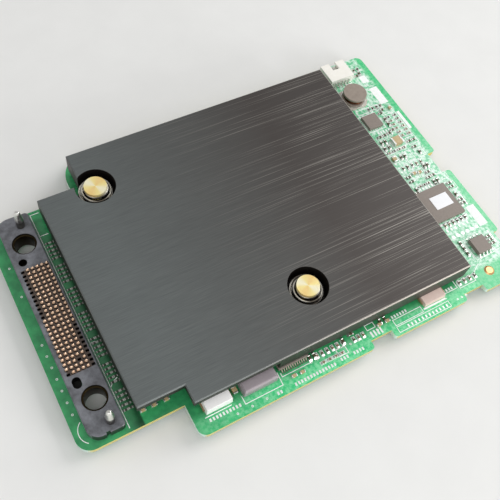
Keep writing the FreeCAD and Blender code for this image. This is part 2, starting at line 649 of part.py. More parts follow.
def make_inductor(x, y):
    """The moulded power inductor, bevelled round its top."""
    width, depth, height = INDUCTOR_SIZE
    body = block(x, y, BOARD_TOP, width, depth, height)
    top = BOARD_TOP + height
    rim = [edge for edge in body.Edges
           if all(abs(vertex.Z - top) < TOUCHING for vertex in edge.Vertexes)]
    return body.makeChamfer(INDUCTOR_BEVEL, rim)


def make_block(place, height):
    """A moulded block capacitor, drafted towards its top."""
    return drafted(*place, BOARD_TOP, *BLOCK_SIZE, height, BLOCK_DRAFT)


def make_block_terminals():
    """The end terminals of both block capacitors, which stand against the foot of each end."""
    terminals = []
    for x, y in (LEFT_BLOCK, RIGHT_BLOCK):
        for side in (-1, 1):
            start = x + side * (BLOCK_SIZE[0] + BLOCK_TERMINAL) / 2
            terminals.append(block(start, y, BOARD_TOP, BLOCK_TERMINAL, BLOCK_TERMINAL_WIDTH,
                                   BLOCK_TERMINAL_HEIGHT))
    return Part.makeCompound(terminals)


def make_ground_pad(x, y):
    """A gold grounding pad with a low raised crown."""
    top = BOARD_TOP + GROUND_PAD_HEIGHT
    return turned(x, y, [(0, BOARD_TOP), (GROUND_PAD_RADIUS, BOARD_TOP), (GROUND_PAD_CROWN, top), (0, top)])


# ---- Battery connector ----
def make_battery_housing(x, y):
    """The side-entry header: an open mouth at the board's rear edge and a latch slot in its roof."""
    width, depth, height = BATTERY_SIZE
    shell = block(x, y, BOARD_TOP, width, depth, height)
    inner_depth = depth - BATTERY_BACK_WALL
    mouth = Part.makeBox(width - 2 * BATTERY_WALL, inner_depth, height - 2 * BATTERY_WALL,
                         Vector(x - width / 2 + BATTERY_WALL, y + depth / 2 - inner_depth,
                                BOARD_TOP + BATTERY_WALL))
    latch = Part.makeBox(BATTERY_LATCH_WIDTH, BATTERY_LATCH_LENGTH, BATTERY_WALL,
                         Vector(x - BATTERY_LATCH_WIDTH / 2, y + depth / 2 - BATTERY_LATCH_LENGTH,
                                BOARD_TOP + height - BATTERY_WALL))
    return shell.cut([mouth, latch] + make_battery_pins(x, y))


def make_battery_pins(x, y):
    """The header's pins: each runs from the mouth through the back wall and down to the board."""
    width, depth, height = BATTERY_SIZE
    level = BOARD_TOP + height / 2
    back = y - depth / 2
    pins = []
    for index in range(BATTERY_PIN_COUNT):
        start = x + (index - (BATTERY_PIN_COUNT - 1) / 2) * BATTERY_PIN_PITCH - BATTERY_PIN_SIZE / 2
        side = [
            (back + BATTERY_BACK_WALL + BATTERY_PIN_LENGTH, level + BATTERY_PIN_SIZE),
            (back - BATTERY_PIN_SIZE, level + BATTERY_PIN_SIZE),
            (back - BATTERY_PIN_SIZE, BOARD_TOP + BATTERY_PIN_SIZE / 2),
            (back - BATTERY_TAIL, BOARD_TOP + BATTERY_PIN_SIZE / 2),
            (back - BATTERY_TAIL, BOARD_TOP), (back, BOARD_TOP), (back, level),
            (back + BATTERY_BACK_WALL + BATTERY_PIN_LENGTH, level),
        ]
        face = polygon_face([Vector(start, across, rise) for across, rise in side])
        pins.append(face.extrude(Vector(BATTERY_PIN_SIZE, 0, 0)))
    return pins


# ---- Small chips ----
def make_chip(x, y, size, turns):
    """A chip's ceramic body and its two end terminals, turned by quarter turns."""
    length, width, height, terminal = size
    body = block(x, y, BOARD_TOP, length - 2 * terminal, width, height)
    ends = []
    for side in (-1, 1):
        end = block(x + side * (length - terminal) / 2, y, BOARD_TOP, terminal,
                    width + 2 * TERMINAL_SKIN, height + TERMINAL_SKIN)
        ends.append(quarter_turns(end, x, y, turns))
    return quarter_turns(body, x, y, turns), ends


def make_row(x, y, step_x, step_y, count, turns):
    """0402 chips in a row from (x, y), one step apart, each with its terminals in one block."""
    chips = []
    for index in range(count):
        across = x + index * step_x
        behind = y + index * step_y
        chips.append(quarter_turns(block(across, behind, BOARD_TOP, *CHIP_0402), across, behind, turns))
    return chips


def make_right_small_chips():
    """The rows of small chips beside the plate."""
    chips = []
    for right, behind, length, pitch, turns in ALONG_X:
        chips += make_row(PLATE_RIGHT + right, FRONT + behind, pitch, 0, int(length / pitch) + 1, turns)
    for right, behind, length, pitch, turns in ALONG_Y:
        chips += make_row(PLATE_RIGHT + right, FRONT + behind, 0, pitch, int(length / pitch) + 1, turns)
    return Part.makeCompound(chips)


def make_front_small_chips():
    """The rows of small chips before the plate."""
    chips = []
    for right, behind, length, pitch, turns in BY_CORNER:
        chips += make_row(PLATE_RIGHT + right, FRONT + behind, pitch, 0, int(length / pitch) + 1, turns)
    for right, left_of_corner, behind, pitch, turns in FILLING:
        free = PLATE_RIGHT - left_of_corner - POCKET_END - right
        count = max(math.floor(free / pitch) + 1, 0)
        chips += make_row(POCKET_END + right, FRONT + behind, pitch, 0, count, turns)
    return Part.makeCompound(chips)


def make_larger_chips():
    """The bodies of the larger chips and all their terminals."""
    placed = []
    for chips, edge in ((BESIDE_CHIPS, PLATE_RIGHT), (LEFT_CHIPS, PLATE_LEFT), (POCKET_CHIPS, POCKET_END)):
        for (right, behind), size, turns in chips:
            placed.append((edge + right, FRONT + behind, size, turns))
    coil_side = INDUCTOR[0] - INDUCTOR_SIZE[0] / 2
    placed.append((coil_side - COIL_CHIP_GAP - CHIP_0805[1] / 2, FRONT + COIL_CHIP_SETBACK, CHIP_0805, 1))
    bodies = []
    terminals = []
    for x, y, size, turns in placed:
        body, ends = make_chip(x, y, size, turns)
        bodies.append(body)
        terminals += ends
    return Part.makeCompound(bodies), Part.makeCompound(terminals)


# ---- Sub-parts ----
os.makedirs("parts", exist_ok=True)

save("board", make_board())
save("heatsink_plate", make_plate())
for end, place in (("front", FRONT_PIN), ("rear", REAR_PIN)):
    save("push_pin_" + end, make_push_pin(*place))
    save("spring_" + end, make_spring(*place))

save("connector_housing", make_housing())
save("connector_contacts", make_contacts())
for end, screw, guide in (("front", FRONT_SCREW, FRONT_GUIDE), ("rear", REAR_SCREW, REAR_GUIDE)):
    save("bushing_" + end, make_bushing(*screw))
    save("guide_pin_" + end, make_guide_pin(*guide))

lid_pad = CONTROLLER_SIZE - 2 * CONTROLLER_LID_INSET - 2 * PAD_INSET
save("controller_chip", make_controller())
save("controller_pad", make_thermal_pad(*CONTROLLER, lid_pad, lid_pad))
memory_height = PLATE_LIFT - PAD_THICKNESS
for number, place in enumerate(memory_places(), 1):
    save("memory_chip_" + str(number), block(*place, BOARD_TOP, MEMORY_WIDTH, MEMORY_LENGTH, memory_height))
    save("memory_pad_" + str(number), make_thermal_pad(*place, MEMORY_WIDTH - 2 * PAD_INSET,
                                                       MEMORY_LENGTH - 2 * PAD_INSET))

drum = beside(DRUM_PLACE)
save("drum_core", make_drum_core(*drum))
save("drum_winding", make_drum_winding(*drum))
save("drum_base", make_drum_base(*drum))
save("power_inductor", make_inductor(*INDUCTOR))
save("block_capacitor_left", make_block(LEFT_BLOCK, LEFT_BLOCK_HEIGHT))
save("block_capacitor_right", make_block(RIGHT_BLOCK, RIGHT_BLOCK_HEIGHT))
save("block_terminals", make_block_terminals())

save("power_chip", block(*beside(POWER_CHIP_PLACE), BOARD_TOP, POWER_CHIP_SIZE, POWER_CHIP_SIZE, CHIP_HEIGHT))
flash = beside(FLASH_PLACE)
save("flash_chip", block(*flash, BOARD_TOP, FLASH_SIZE, FLASH_SIZE, CHIP_HEIGHT))
save("flash_label", block(flash[0] + LABEL_FROM_FLASH[0], flash[1] + LABEL_FROM_FLASH[1],
                          BOARD_TOP + CHIP_HEIGHT, *LABEL_SIZE, LABEL_THICKNESS))
soic = beside(SOIC_PLACE)
save("soic_body", make_leaded_body(*soic, *SOIC_BODY, SOIC_HEIGHT))
save("soic_leads", make_leads(*soic, SOIC_BODY[1], SOIC_HEIGHT, SOIC_LEAD_COUNT, SOIC_PITCH,
                              SOIC_LEAD_WIDTH))
fine_chip = (POCKET_END + FINE_CHIP_FROM_POCKET,
             FRONT + FINE_CHIP_SETBACK + FINE_CHIP_BODY[1] / 2)
save("fine_chip_body", make_leaded_body(*fine_chip, *FINE_CHIP_BODY, FINE_CHIP_HEIGHT))
save("fine_chip_leads", make_leads(*fine_chip, FINE_CHIP_BODY[1], FINE_CHIP_HEIGHT, FINE_CHIP_LEAD_COUNT,
                                   FINE_CHIP_PITCH, FINE_CHIP_LEAD_WIDTH))
save("ground_pad", make_ground_pad(*beside(GROUND_PAD_PLACE)))

battery = beside(BATTERY_PLACE)
save("battery_housing", make_battery_housing(*battery))
save("battery_pins", Part.makeCompound(make_battery_pins(*battery)))

larger_bodies, larger_terminals = make_larger_chips()
save("right_small_chips", make_right_small_chips())
save("front_small_chips", make_front_small_chips())
save("large_capacitors", larger_bodies)
save("large_terminals", larger_terminals)
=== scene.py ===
"""Looks of a raid controller card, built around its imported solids.

Lengths in the mesh code are millimetres, and piece() turns them into metres. X runs along the card's
long side, Y towards its rear edge and Z up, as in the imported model.
"""

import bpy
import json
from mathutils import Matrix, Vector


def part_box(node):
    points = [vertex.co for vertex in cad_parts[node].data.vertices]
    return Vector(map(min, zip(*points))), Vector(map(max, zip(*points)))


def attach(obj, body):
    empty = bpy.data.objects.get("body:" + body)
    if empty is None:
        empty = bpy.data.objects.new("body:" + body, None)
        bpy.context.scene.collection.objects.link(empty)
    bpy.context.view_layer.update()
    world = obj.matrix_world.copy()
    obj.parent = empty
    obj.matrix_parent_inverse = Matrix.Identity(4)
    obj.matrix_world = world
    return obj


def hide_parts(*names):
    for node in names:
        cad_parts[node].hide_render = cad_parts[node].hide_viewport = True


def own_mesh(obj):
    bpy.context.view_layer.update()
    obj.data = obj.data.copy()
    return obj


bl_info = {
    "name": "Raid Controller Card",
    "version": (1, 0, 0),
    "blender": (4, 5, 0),
    "location": "3D View > Sidebar > Card",
    "description": "Builds the surfaces and small parts of a raid controller card around its solids",
    "category": "Object",
}

import json
import math

import bmesh
import bpy
from mathutils import Matrix, Vector

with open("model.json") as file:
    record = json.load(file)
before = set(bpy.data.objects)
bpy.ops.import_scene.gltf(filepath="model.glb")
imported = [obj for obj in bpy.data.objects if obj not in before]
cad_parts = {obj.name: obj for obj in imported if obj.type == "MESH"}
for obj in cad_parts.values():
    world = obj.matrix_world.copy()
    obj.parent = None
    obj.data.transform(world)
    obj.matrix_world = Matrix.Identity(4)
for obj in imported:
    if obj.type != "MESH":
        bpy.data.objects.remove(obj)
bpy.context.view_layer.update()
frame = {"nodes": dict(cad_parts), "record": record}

MM = 0.001
TINY = 1e-6
SMOOTH_ANGLE = math.radians(35)
WIRE_ANGLE = math.radians(60)
FLAT_ANGLE = math.radians(1)  # faces that meet at less than this are one flat face
MERGE_DISTANCE = 0.002        # in mm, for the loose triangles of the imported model
BROAD_FACE = 1e-6             # in square metres
BELLY_SHARE = 0.55            # where along its wire a spring is widest
COPPER_RISE = 0.015           # how far the mask over copper stands above the bare mask
PRINT_BASE = 0.02             # the print's surface starts this far above the board
SHARPEST_LEAN = 0.3           # least cosine by which a printed line's mitre is drawn out


# ---- Colours and shader nodes ----
def linear(code):
    """An sRGB hex colour as the linear values that shaders use."""
    channels = [int(code[start:start + 2], 16) / 255 for start in (0, 2, 4)]
    return (*[c / 12.92 if c <= 0.04045 else ((c + 0.055) / 1.055) ** 2.4 for c in channels], 1.0)


def add_node(tree, kind, inputs=None, **settings):
    """Add a node; each input is a value, a hex colour, or the output or node that feeds it."""
    node = tree.nodes.new(kind)
    for name, value in settings.items():
        setattr(node, name, value)
    for name, value in (inputs or {}).items():
        socket = node.inputs[name]
        if isinstance(value, bpy.types.Node):
            value = next(output for output in value.outputs if output.enabled)
        if isinstance(value, bpy.types.NodeSocket):
            tree.links.new(value, socket)
        elif isinstance(value, str) and socket.type == "RGBA":
            socket.default_value = linear(value)
        else:
            socket.default_value = value
    return node


def grain(tree, size, detail=3.0, roughness=0.55):
    """Noise whose grains have the given size in mm, or sizes along X, Y and Z."""
    lengths = size if isinstance(size, tuple) else (size,) * 3
    mapped = add_node(tree, "ShaderNodeMapping", {
        "Vector": add_node(tree, "ShaderNodeTexCoord").outputs["Object"],
        "Scale": tuple(1 / (length * MM) for length in lengths)})
    return add_node(tree, "ShaderNodeTexNoise", {
        "Vector": mapped, "Scale": 1.0, "Detail": detail, "Roughness": roughness})


def mottled(tree, first, second, size, spread=(0.0, 1.0), share=1.0, **noise):
    """The first colour where the grain is below its spread, the second one's share where it is above."""
    factor = add_node(tree, "ShaderNodeMapRange", {
        "Value": grain(tree, size, **noise), "From Min": spread[0], "From Max": spread[1], "To Max": share})
    return add_node(tree, "ShaderNodeMix", {0: factor, 6: first, 7: second}, data_type="RGBA")


def new_material(name, first, second, size, inputs, relief=None, spread=(0.0, 1.0), share=1.0, **noise):
    """A material mottled in two colours; its relief is a grain size and a depth, all lengths in mm."""
    material = bpy.data.materials.new(name)
    material.use_nodes = True
    tree = material.node_tree
    tree.nodes.clear()
    inputs = {"Base Color": mottled(tree, first, second, size, spread, share, **noise), **inputs}
    if relief:
        inputs["Normal"] = add_node(tree, "ShaderNodeBump", {
            "Height": grain(tree, relief[0]), "Distance": relief[1] * MM})
    shader = add_node(tree, "ShaderNodeBsdfPrincipled", inputs)
    add_node(tree, "ShaderNodeOutputMaterial", {"Surface": shader})
    return material


def moulded(name, dark, light, size, depth, roughness):
    """A moulded or pressed surface: two close colours in a fine grain, and a slight relief."""
    return new_material(name, dark, light, size * 6, {"Roughness": roughness}, (size, depth))


def shader_of(material):
    """A material's principled shader."""
    return next(node for node in material.node_tree.nodes if node.type == "BSDF_PRINCIPLED")


def lay_over(material, colour, value, low=0.0, high=1.0, share=1.0):
    """Mix a colour over the present one: none of it where the value is low, its share where high."""
    tree = material.node_tree
    base = shader_of(material).inputs["Base Color"]
    factor = add_node(tree, "ShaderNodeMapRange", {
        "Value": value, "From Min": low, "From Max": high, "To Max": share})
    mixed = add_node(tree, "ShaderNodeMix", {
        0: factor, 6: base.links[0].from_socket, 7: colour}, data_type="RGBA")
    tree.links.new(mixed.outputs[2], base)


def along(tree, axis):
    """How far a point lies along X, Y or Z, in metres."""
    place = add_node(tree, "ShaderNodeTexCoord").outputs["Object"]
    return add_node(tree, "ShaderNodeSeparateXYZ", {"Vector": place}).outputs[axis]


def fade(tree, axis, start, end, low=0.0, high=1.0):
    """A value that goes from low to high between two places, in mm, along an axis."""
    return add_node(tree, "ShaderNodeMapRange", {
        "Value": along(tree, axis), "From Min": start * MM, "From Max": end * MM,
        "To Min": low, "To Max": high})


def fade_about(tree, axis, centre, start, end):
    """A value that goes from nought to one between two distances, in mm, on both sides of a place."""
    offset = add_node(tree, "ShaderNodeMath", {0: along(tree, axis), 1: centre * MM}, operation="SUBTRACT")
    distance = add_node(tree, "ShaderNodeMath", {0: offset}, operation="ABSOLUTE")
    return add_node(tree, "ShaderNodeMapRange", {
        "Value": distance, "From Min": start * MM, "From Max": end * MM})


def facing(tree, axis):
    """How much of a face's normal points along X, Y or Z."""
    normal = add_node(tree, "ShaderNodeNewGeometry").outputs["True Normal"]
    return add_node(tree, "ShaderNodeSeparateXYZ", {"Vector": normal}).outputs[axis]


def level_faces(tree):
    """One on level faces and nought on upright ones."""
    return add_node(tree, "ShaderNodeMath", {0: facing(tree, "Z")}, operation="ABSOLUTE")


def axis_distance(tree, centres):
    """The distance in metres from the nearest of some upright axes, given in mm."""
    place = add_node(tree, "ShaderNodeTexCoord").outputs["Object"]
    flat = add_node(tree, "ShaderNodeVectorMath", {0: place, 1: (1.0, 1.0, 0.0)}, operation="MULTIPLY")
    reaches = [add_node(tree, "ShaderNodeVectorMath", {
        0: flat, 1: (x * MM, y * MM, 0.0)}, operation="DISTANCE") for x, y in centres]
    nearest = reaches[0]
    for reach in reaches[1:]:
        nearest = add_node(tree, "ShaderNodeMath", {0: nearest, 1: reach}, operation="MINIMUM")
    return nearest


def fans(tree, front, rear, heading):
    """Opposite sectors round two upright axes, given in mm: one along the heading, nought across it."""
    place = add_node(tree, "ShaderNodeTexCoord").outputs["Object"]
    direction = (math.cos(heading), math.sin(heading), 0.0)
    shares = []
    for x, y in (front, rear):
        offset = add_node(tree, "ShaderNodeVectorMath", {
            0: place, 1: (x * MM, y * MM, 0.0)}, operation="SUBTRACT")
        flat = add_node(tree, "ShaderNodeVectorMath", {0: offset, 1: (1.0, 1.0, 0.0)}, operation="MULTIPLY")
        unit = add_node(tree, "ShaderNodeVectorMath", {0: flat}, operation="NORMALIZE")
        cosine = add_node(tree, "ShaderNodeVectorMath", {0: unit, 1: direction}, operation="DOT_PRODUCT")
        shares.append(add_node(tree, "ShaderNodeMath", {0: cosine, 1: cosine}, operation="MULTIPLY"))
    border = (front[1] + rear[1]) / 2
    behind = fade(tree, "Y", border - 1, border + 1)
    return add_node(tree, "ShaderNodeMix", {0: behind, 2: shares[0], 3: shares[1]}, data_type="FLOAT")


def turned_metal(name, dark, light, centres, groove, depth, roughness, metallic=1.0):
    """Metal turned on a lathe: fine rings round the axis and a faint change of tone."""
    material = new_material(name, dark, light, 1.5, {"Metallic": metallic, "Roughness": roughness})
    tree = material.node_tree
    rings = add_node(tree, "ShaderNodeMath", {
        0: axis_distance(tree, centres), 1: 2 * math.pi / (groove * MM)}, operation="MULTIPLY")
    wave = add_node(tree, "ShaderNodeMath", {0: rings}, operation="SINE")
    height = add_node(tree, "ShaderNodeMapRange", {"Value": wave, "From Min": -1.0})
    bump = add_node(tree, "ShaderNodeBump", {"Height": height, "Distance": depth * MM})
    tree.links.new(bump.outputs["Normal"], shader_of(material).inputs["Normal"])
    return material


def reflowed_tin():
    """Tin over nickel, reflowed: bright grey, slightly uneven. It is made once and shared."""
    return bpy.data.materials.get("reflowed_tin") or new_material(
        "reflowed_tin", "c3c4bf", "efefea", 0.5, {"Metallic": 0.9, "Roughness": 0.32}, (0.2, 0.01))


# ---- Mesh building, in mm ----
def where(node):
    """The lowest and highest corner of a CAD node, in mm."""
    low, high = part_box(node)
    return low / MM, high / MM


def middle(node):
    """The x and y of a CAD node's centre, in mm."""
    low, high = where(node)
    return ((low.x + high.x) / 2, (low.y + high.y) / 2)


def add_box(bm, low, high, bevel=0.0):
    """Add a closed box between two corners, its edges cut by the bevel."""
    low, high = Vector(low), Vector(high)
    place = Matrix.Translation((low + high) / 2) @ Matrix.Diagonal((*(high - low), 1.0))
    made = bmesh.ops.create_cube(bm, size=1.0, matrix=place)
    if bevel > 0:
        edges = list({edge for vert in made["verts"] for edge in vert.link_edges})
        bmesh.ops.bevel(bm, geom=edges, offset=bevel, segments=1, affect="EDGES")


def slab(size, bevel):
    """A mesh of one box on the origin, from its half length, half width and whole height."""
    x, y, height = size
    bm = bmesh.new()
    add_box(bm, (-x, -y, 0.0), (x, y, height), bevel)
    return bm


def skin(bm, rings):
    """Close a body round a row of equal rings of corners."""
    sides = len(rings[0])
    for first, second in zip(rings, rings[1:]):
        for side in range(sides):
            after = (side + 1) % sides
            bm.faces.new((first[side], second[side], second[after], first[after]))
    bm.faces.new(rings[0])
    bm.faces.new(rings[-1][::-1])


def add_ribbon(bm, points, width, base, height):
    """Add a flat strip with mitred corners along (x, y) points."""
    points = [Vector(point) for point in points]
    left, right = [], []
    for index, point in enumerate(points):
        before = (point - points[index - 1]).normalized() if index else None
        after = (points[index + 1] - point).normalized() if index + 1 < len(points) else None
        heading = ((before or after) + (after or before)).normalized()
        across = Vector((-heading.y, heading.x))
        lean = max(abs(heading.dot(before or after)), SHARPEST_LEAN)
        reach = across * (width / 2 / lean)
        left.append(point + reach)
        right.append(point - reach)
    rings = []
    for a, b in zip(left, right):
        rings.append([bm.verts.new((b.x, b.y, base)), bm.verts.new((a.x, a.y, base)),
                      bm.verts.new((a.x, a.y, base + height)), bm.verts.new((b.x, b.y, base + height))])
    skin(bm, rings)


def add_frame(bm, low, high, width, base, height):
    """Add a flat closed rectangle of strip between two (x, y) corners."""
    rings = []
    for inset in (0, width):
        corners = [(low[0] + inset, low[1] + inset), (high[0] - inset, low[1] + inset),
                   (high[0] - inset, high[1] - inset), (low[0] + inset, high[1] - inset)]
        rings.append([bm.verts.new((x, y, base)) for x, y in corners])
        rings.append([bm.verts.new((x, y, base + height)) for x, y in corners])
    outer, outer_top, inner, inner_top = rings
    for side in range(4):
        after = (side + 1) % 4
        for a, b in ((outer, outer_top), (outer_top, inner_top), (inner_top, inner), (inner, outer)):
            bm.faces.new((a[side], a[after], b[after], b[side]))


def add_spun(bm, x, y, profile, steps=72, hollow=False):
    """Add a turned body about the upright axis through (x, y), from (radius, level) points."""
    rings = []
    for radius, level in profile:
        turns = range(steps) if radius > TINY else range(1)
        rings.append([bm.verts.new((x + radius * math.cos(2 * math.pi * turn / steps),
                                    y + radius * math.sin(2 * math.pi * turn / steps), level))
                      for turn in turns])
    pairs = list(zip(rings, rings[1:]))
    if hollow:
        pairs.append((rings[-1], rings[0]))
    for lower, upper in pairs:
        for turn in range(steps):
            corners = [lower[turn % len(lower)], lower[(turn + 1) % len(lower)],
                       upper[(turn + 1) % len(upper)], upper[turn % len(upper)]]
            corners = list(dict.fromkeys(corners))
            if len(corners) > 2:
                bm.faces.new(corners)


def tube(radii, low, high):
    """The profile of a tube, or of a disc where the inner radius is nought."""
    inner, outer = radii
    return [(inner, low), (outer, low), (outer, high), (inner, high)]


def round_corner(before, corner, after, radius, steps=4):
    """Points of an arc that rounds one corner of a profile."""
    corner = Vector(corner)
    back = (Vector(before) - corner).normalized()
    ahead = (Vector(after) - corner).normalized()
    half = back.angle(ahead) / 2
    centre = corner + (back + ahead).normalized() * (radius / math.sin(half))
    reach = radius / math.tan(half)
    start, end = corner + back * reach - centre, corner + ahead * reach - centre
    first = math.atan2(start.y, start.x)
    sweep = math.remainder(math.atan2(end.y, end.x) - first, 2 * math.pi)
    return [(centre.x + radius * math.cos(first + sweep * step / steps),
             centre.y + radius * math.sin(first + sweep * step / steps)) for step in range(steps + 1)]


def rounded_profile(points, radii):
    """A profile whose numbered corners are rounded."""
    made = []
    for index, point in enumerate(points):
        if index in radii:
            made += round_corner(points[index - 1], point, points[(index + 1) % len(points)], radii[index])
        else:
            made.append(point)
    return made


def in_metres(bm, name):
    """A mesh in metres made from one in mm, which is freed."""
    mesh = bpy.data.meshes.new(name)
    bm.to_mesh(mesh)
    bm.free()
    mesh.transform(Matrix.Scale(MM, 4))
    return mesh


def smooth(mesh, angle):
    """Shade a mesh smooth and leave its edges over an angle sharp."""
    mesh.shade_smooth()
    mesh.set_sharp_from_angle(angle=angle)


def finished(name, mesh, material, replaced=()):
    """A piece on the card with its material and the CAD nodes that it stands for."""
    mesh.materials.clear()
    mesh.materials.append(material)
    made = bpy.data.objects.new(name, mesh)
    bpy.context.scene.collection.objects.link(made)
    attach(made, "card")
    if replaced:
        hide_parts(*replaced)
    return made


def piece(name, bm, material, replaced=(), smoothed=True):
    """Turn a mesh made in mm into a finished piece on the card."""
    mesh = in_metres(bm, name)
    if smoothed:
        smooth(mesh, SMOOTH_ANGLE)
    return finished(name, mesh, material, replaced)


def merged(node):
    """A CAD node's mesh in mm, its loose triangles merged and its flat faces joined."""
    bm = bmesh.new()
    bm.from_mesh(frame["nodes"][node].data)
    bm.transform(Matrix.Scale(1 / MM, 4))
    bmesh.ops.remove_doubles(bm, verts=bm.verts, dist=MERGE_DISTANCE)
    bmesh.ops.dissolve_limit(bm, angle_limit=FLAT_ANGLE, verts=bm.verts, edges=bm.edges)
    return bm


def softened(nodes, name, radius, material):
    """Copies of CAD nodes with their edges rounded, shown in the nodes' place as one piece."""
    whole = bmesh.new()
    for node in nodes:
        bm = merged(node)
        edges = [edge for edge in bm.edges
                 if len(edge.link_faces) == 2 and edge.calc_face_angle() > SMOOTH_ANGLE]
        bmesh.ops.bevel(bm, geom=edges, offset=radius, segments=2, profile=0.5, affect="EDGES",
                        clamp_overlap=True)
        part = bpy.data.meshes.new(name)
        bm.to_mesh(part)
        bm.free()
        whole.from_mesh(part)
        bpy.data.meshes.remove(part)
    made = piece(name, whole, material, nodes)
    # Broad faces are truly flat, so their shading takes nothing from the rounded edges.
    for face in made.data.polygons:
        if face.area > BROAD_FACE:
            face.use_smooth = False
    return made


def islands(node):
    """The lowest and highest corner, in mm, of each separate solid in a CAD node."""
    bm = merged(node)
    left = set(bm.verts)
    boxes = []
    while left:
        group, edge_of_group = [], [left.pop()]
        while edge_of_group:
            vert = edge_of_group.pop()
            group.append(vert.co.copy())
            for edge in vert.link_edges:
                other = edge.other_vert(vert)
                if other in left:
                    left.remove(other)
                    edge_of_group.append(other)
        boxes.append((Vector([min(co[axis] for co in group) for axis in range(3)]),
                      Vector([max(co[axis] for co in group) for axis in range(3)])))
    bm.free()
    return sorted(boxes, key=lambda box: tuple(box[0]))


def dress(material, *nodes):
    """Give CAD nodes a better material."""
    for node in nodes:
        for material_slot in frame["nodes"][node].material_slots:
            material_slot.material = material


# ---- Geometry Nodes ----
def new_tree(name, sockets):
    """A geometry tree with named inputs: the tree, their outputs, its end and their identifiers."""
    tree = bpy.data.node_groups.new(name, "GeometryNodeTree")
    tree.interface.new_socket("Geometry", in_out="OUTPUT", socket_type="NodeSocketGeometry")
    identifiers = {}
    for label, kind in sockets:
        identifiers[label] = tree.interface.new_socket(
            label, in_out="INPUT", socket_type="NodeSocket" + kind).identifier
    given = tree.nodes.new("NodeGroupInput").outputs
    sink = tree.nodes.new("NodeGroupOutput")
    return tree, given, sink, identifiers


def close_tree(tree, given, sink, geometry):
    """End a tree with real meshes, not instances, in the material that it is given."""
    real = add_node(tree, "GeometryNodeRealizeInstances", {"Geometry": geometry})
    painted = add_node(tree, "GeometryNodeSetMaterial", {"Geometry": real, "Material": given["Material"]})
    tree.links.new(painted.outputs["Geometry"], sink.inputs["Geometry"])


def grown(name, tree, identifiers, values, mesh=None):
    """Run a geometry tree once on a host object and return its result as a plain mesh."""
    host = bpy.data.objects.new(name + "_host", mesh or bpy.data.meshes.new(name + "_host"))
    bpy.context.scene.collection.objects.link(host)
    modifier = host.modifiers.new(name, "NODES")
    modifier.node_group = tree
    for label, value in values.items():
        modifier[identifiers[label]] = value
    graph = bpy.context.evaluated_depsgraph_get()
    result = bpy.data.meshes.new_from_object(host.evaluated_get(graph), depsgraph=graph)
    result.name = name
    host.modifiers.remove(modifier)
    bpy.data.objects.remove(host)
    return result


def repeat_tree():
    """A tree that puts one shape at every point, turned by the point's own angle."""
    tree, given, sink, identifiers = new_tree("repeated_small_parts", (
        ("Geometry", "Geometry"), ("Shape", "Object"), ("Scale", "Float"), ("Unevenness", "Float"),
        ("Seed", "Int"), ("Material", "Material")))
    shape = add_node(tree, "GeometryNodeObjectInfo", {"Object": given["Shape"]})
    angle = add_node(tree, "GeometryNodeInputNamedAttribute", {"Name": "turn"}, data_type="FLOAT")
    least = add_node(tree, "ShaderNodeMath", {0: given["Unevenness"], 1: -1.0}, operation="MULTIPLY")
    play = add_node(tree, "FunctionNodeRandomValue", {
        2: least, 3: given["Unevenness"], "Seed": given["Seed"]}, data_type="FLOAT")
    total = add_node(tree, "ShaderNodeMath", {0: angle, 1: play}, operation="ADD")
    turn = add_node(tree, "ShaderNodeCombineXYZ", {"Z": total})
    placed = add_node(tree, "GeometryNodeInstanceOnPoints", {
        "Points": given["Geometry"], "Instance": shape.outputs["Geometry"], "Rotation": turn,
        "Scale": given["Scale"]})
    close_tree(tree, given, sink, placed)
    return tree, identifiers


def repeated(name, shape, places, material, turns=None, unevenness=0.0, seed=1, replaced=(),
             scale=1.0):
    """One piece made of a shape, given in mm, repeated at (x, y, z) places in mm."""
    part = in_metres(shape, name + "_shape")
    single = bpy.data.objects.new(name + "_shape", part)
    bpy.context.scene.collection.objects.link(single)
    points = bpy.data.meshes.new(name + "_points")
    points.from_pydata([Vector(place) * MM for place in places], [], [])
    angle = points.attributes.new("turn", "FLOAT", "POINT")
    angle.data.foreach_set("value", turns or [0.0] * len(places))
    tree, identifiers = repeat_tree()
    mesh = grown(name, tree, identifiers, {
        "Shape": single, "Scale": scale, "Unevenness": unevenness, "Seed": seed,
        "Material": material}, points)
    bpy.data.objects.remove(single)
    smooth(mesh, SMOOTH_ANGLE)
    return finished(name, mesh, material, replaced)


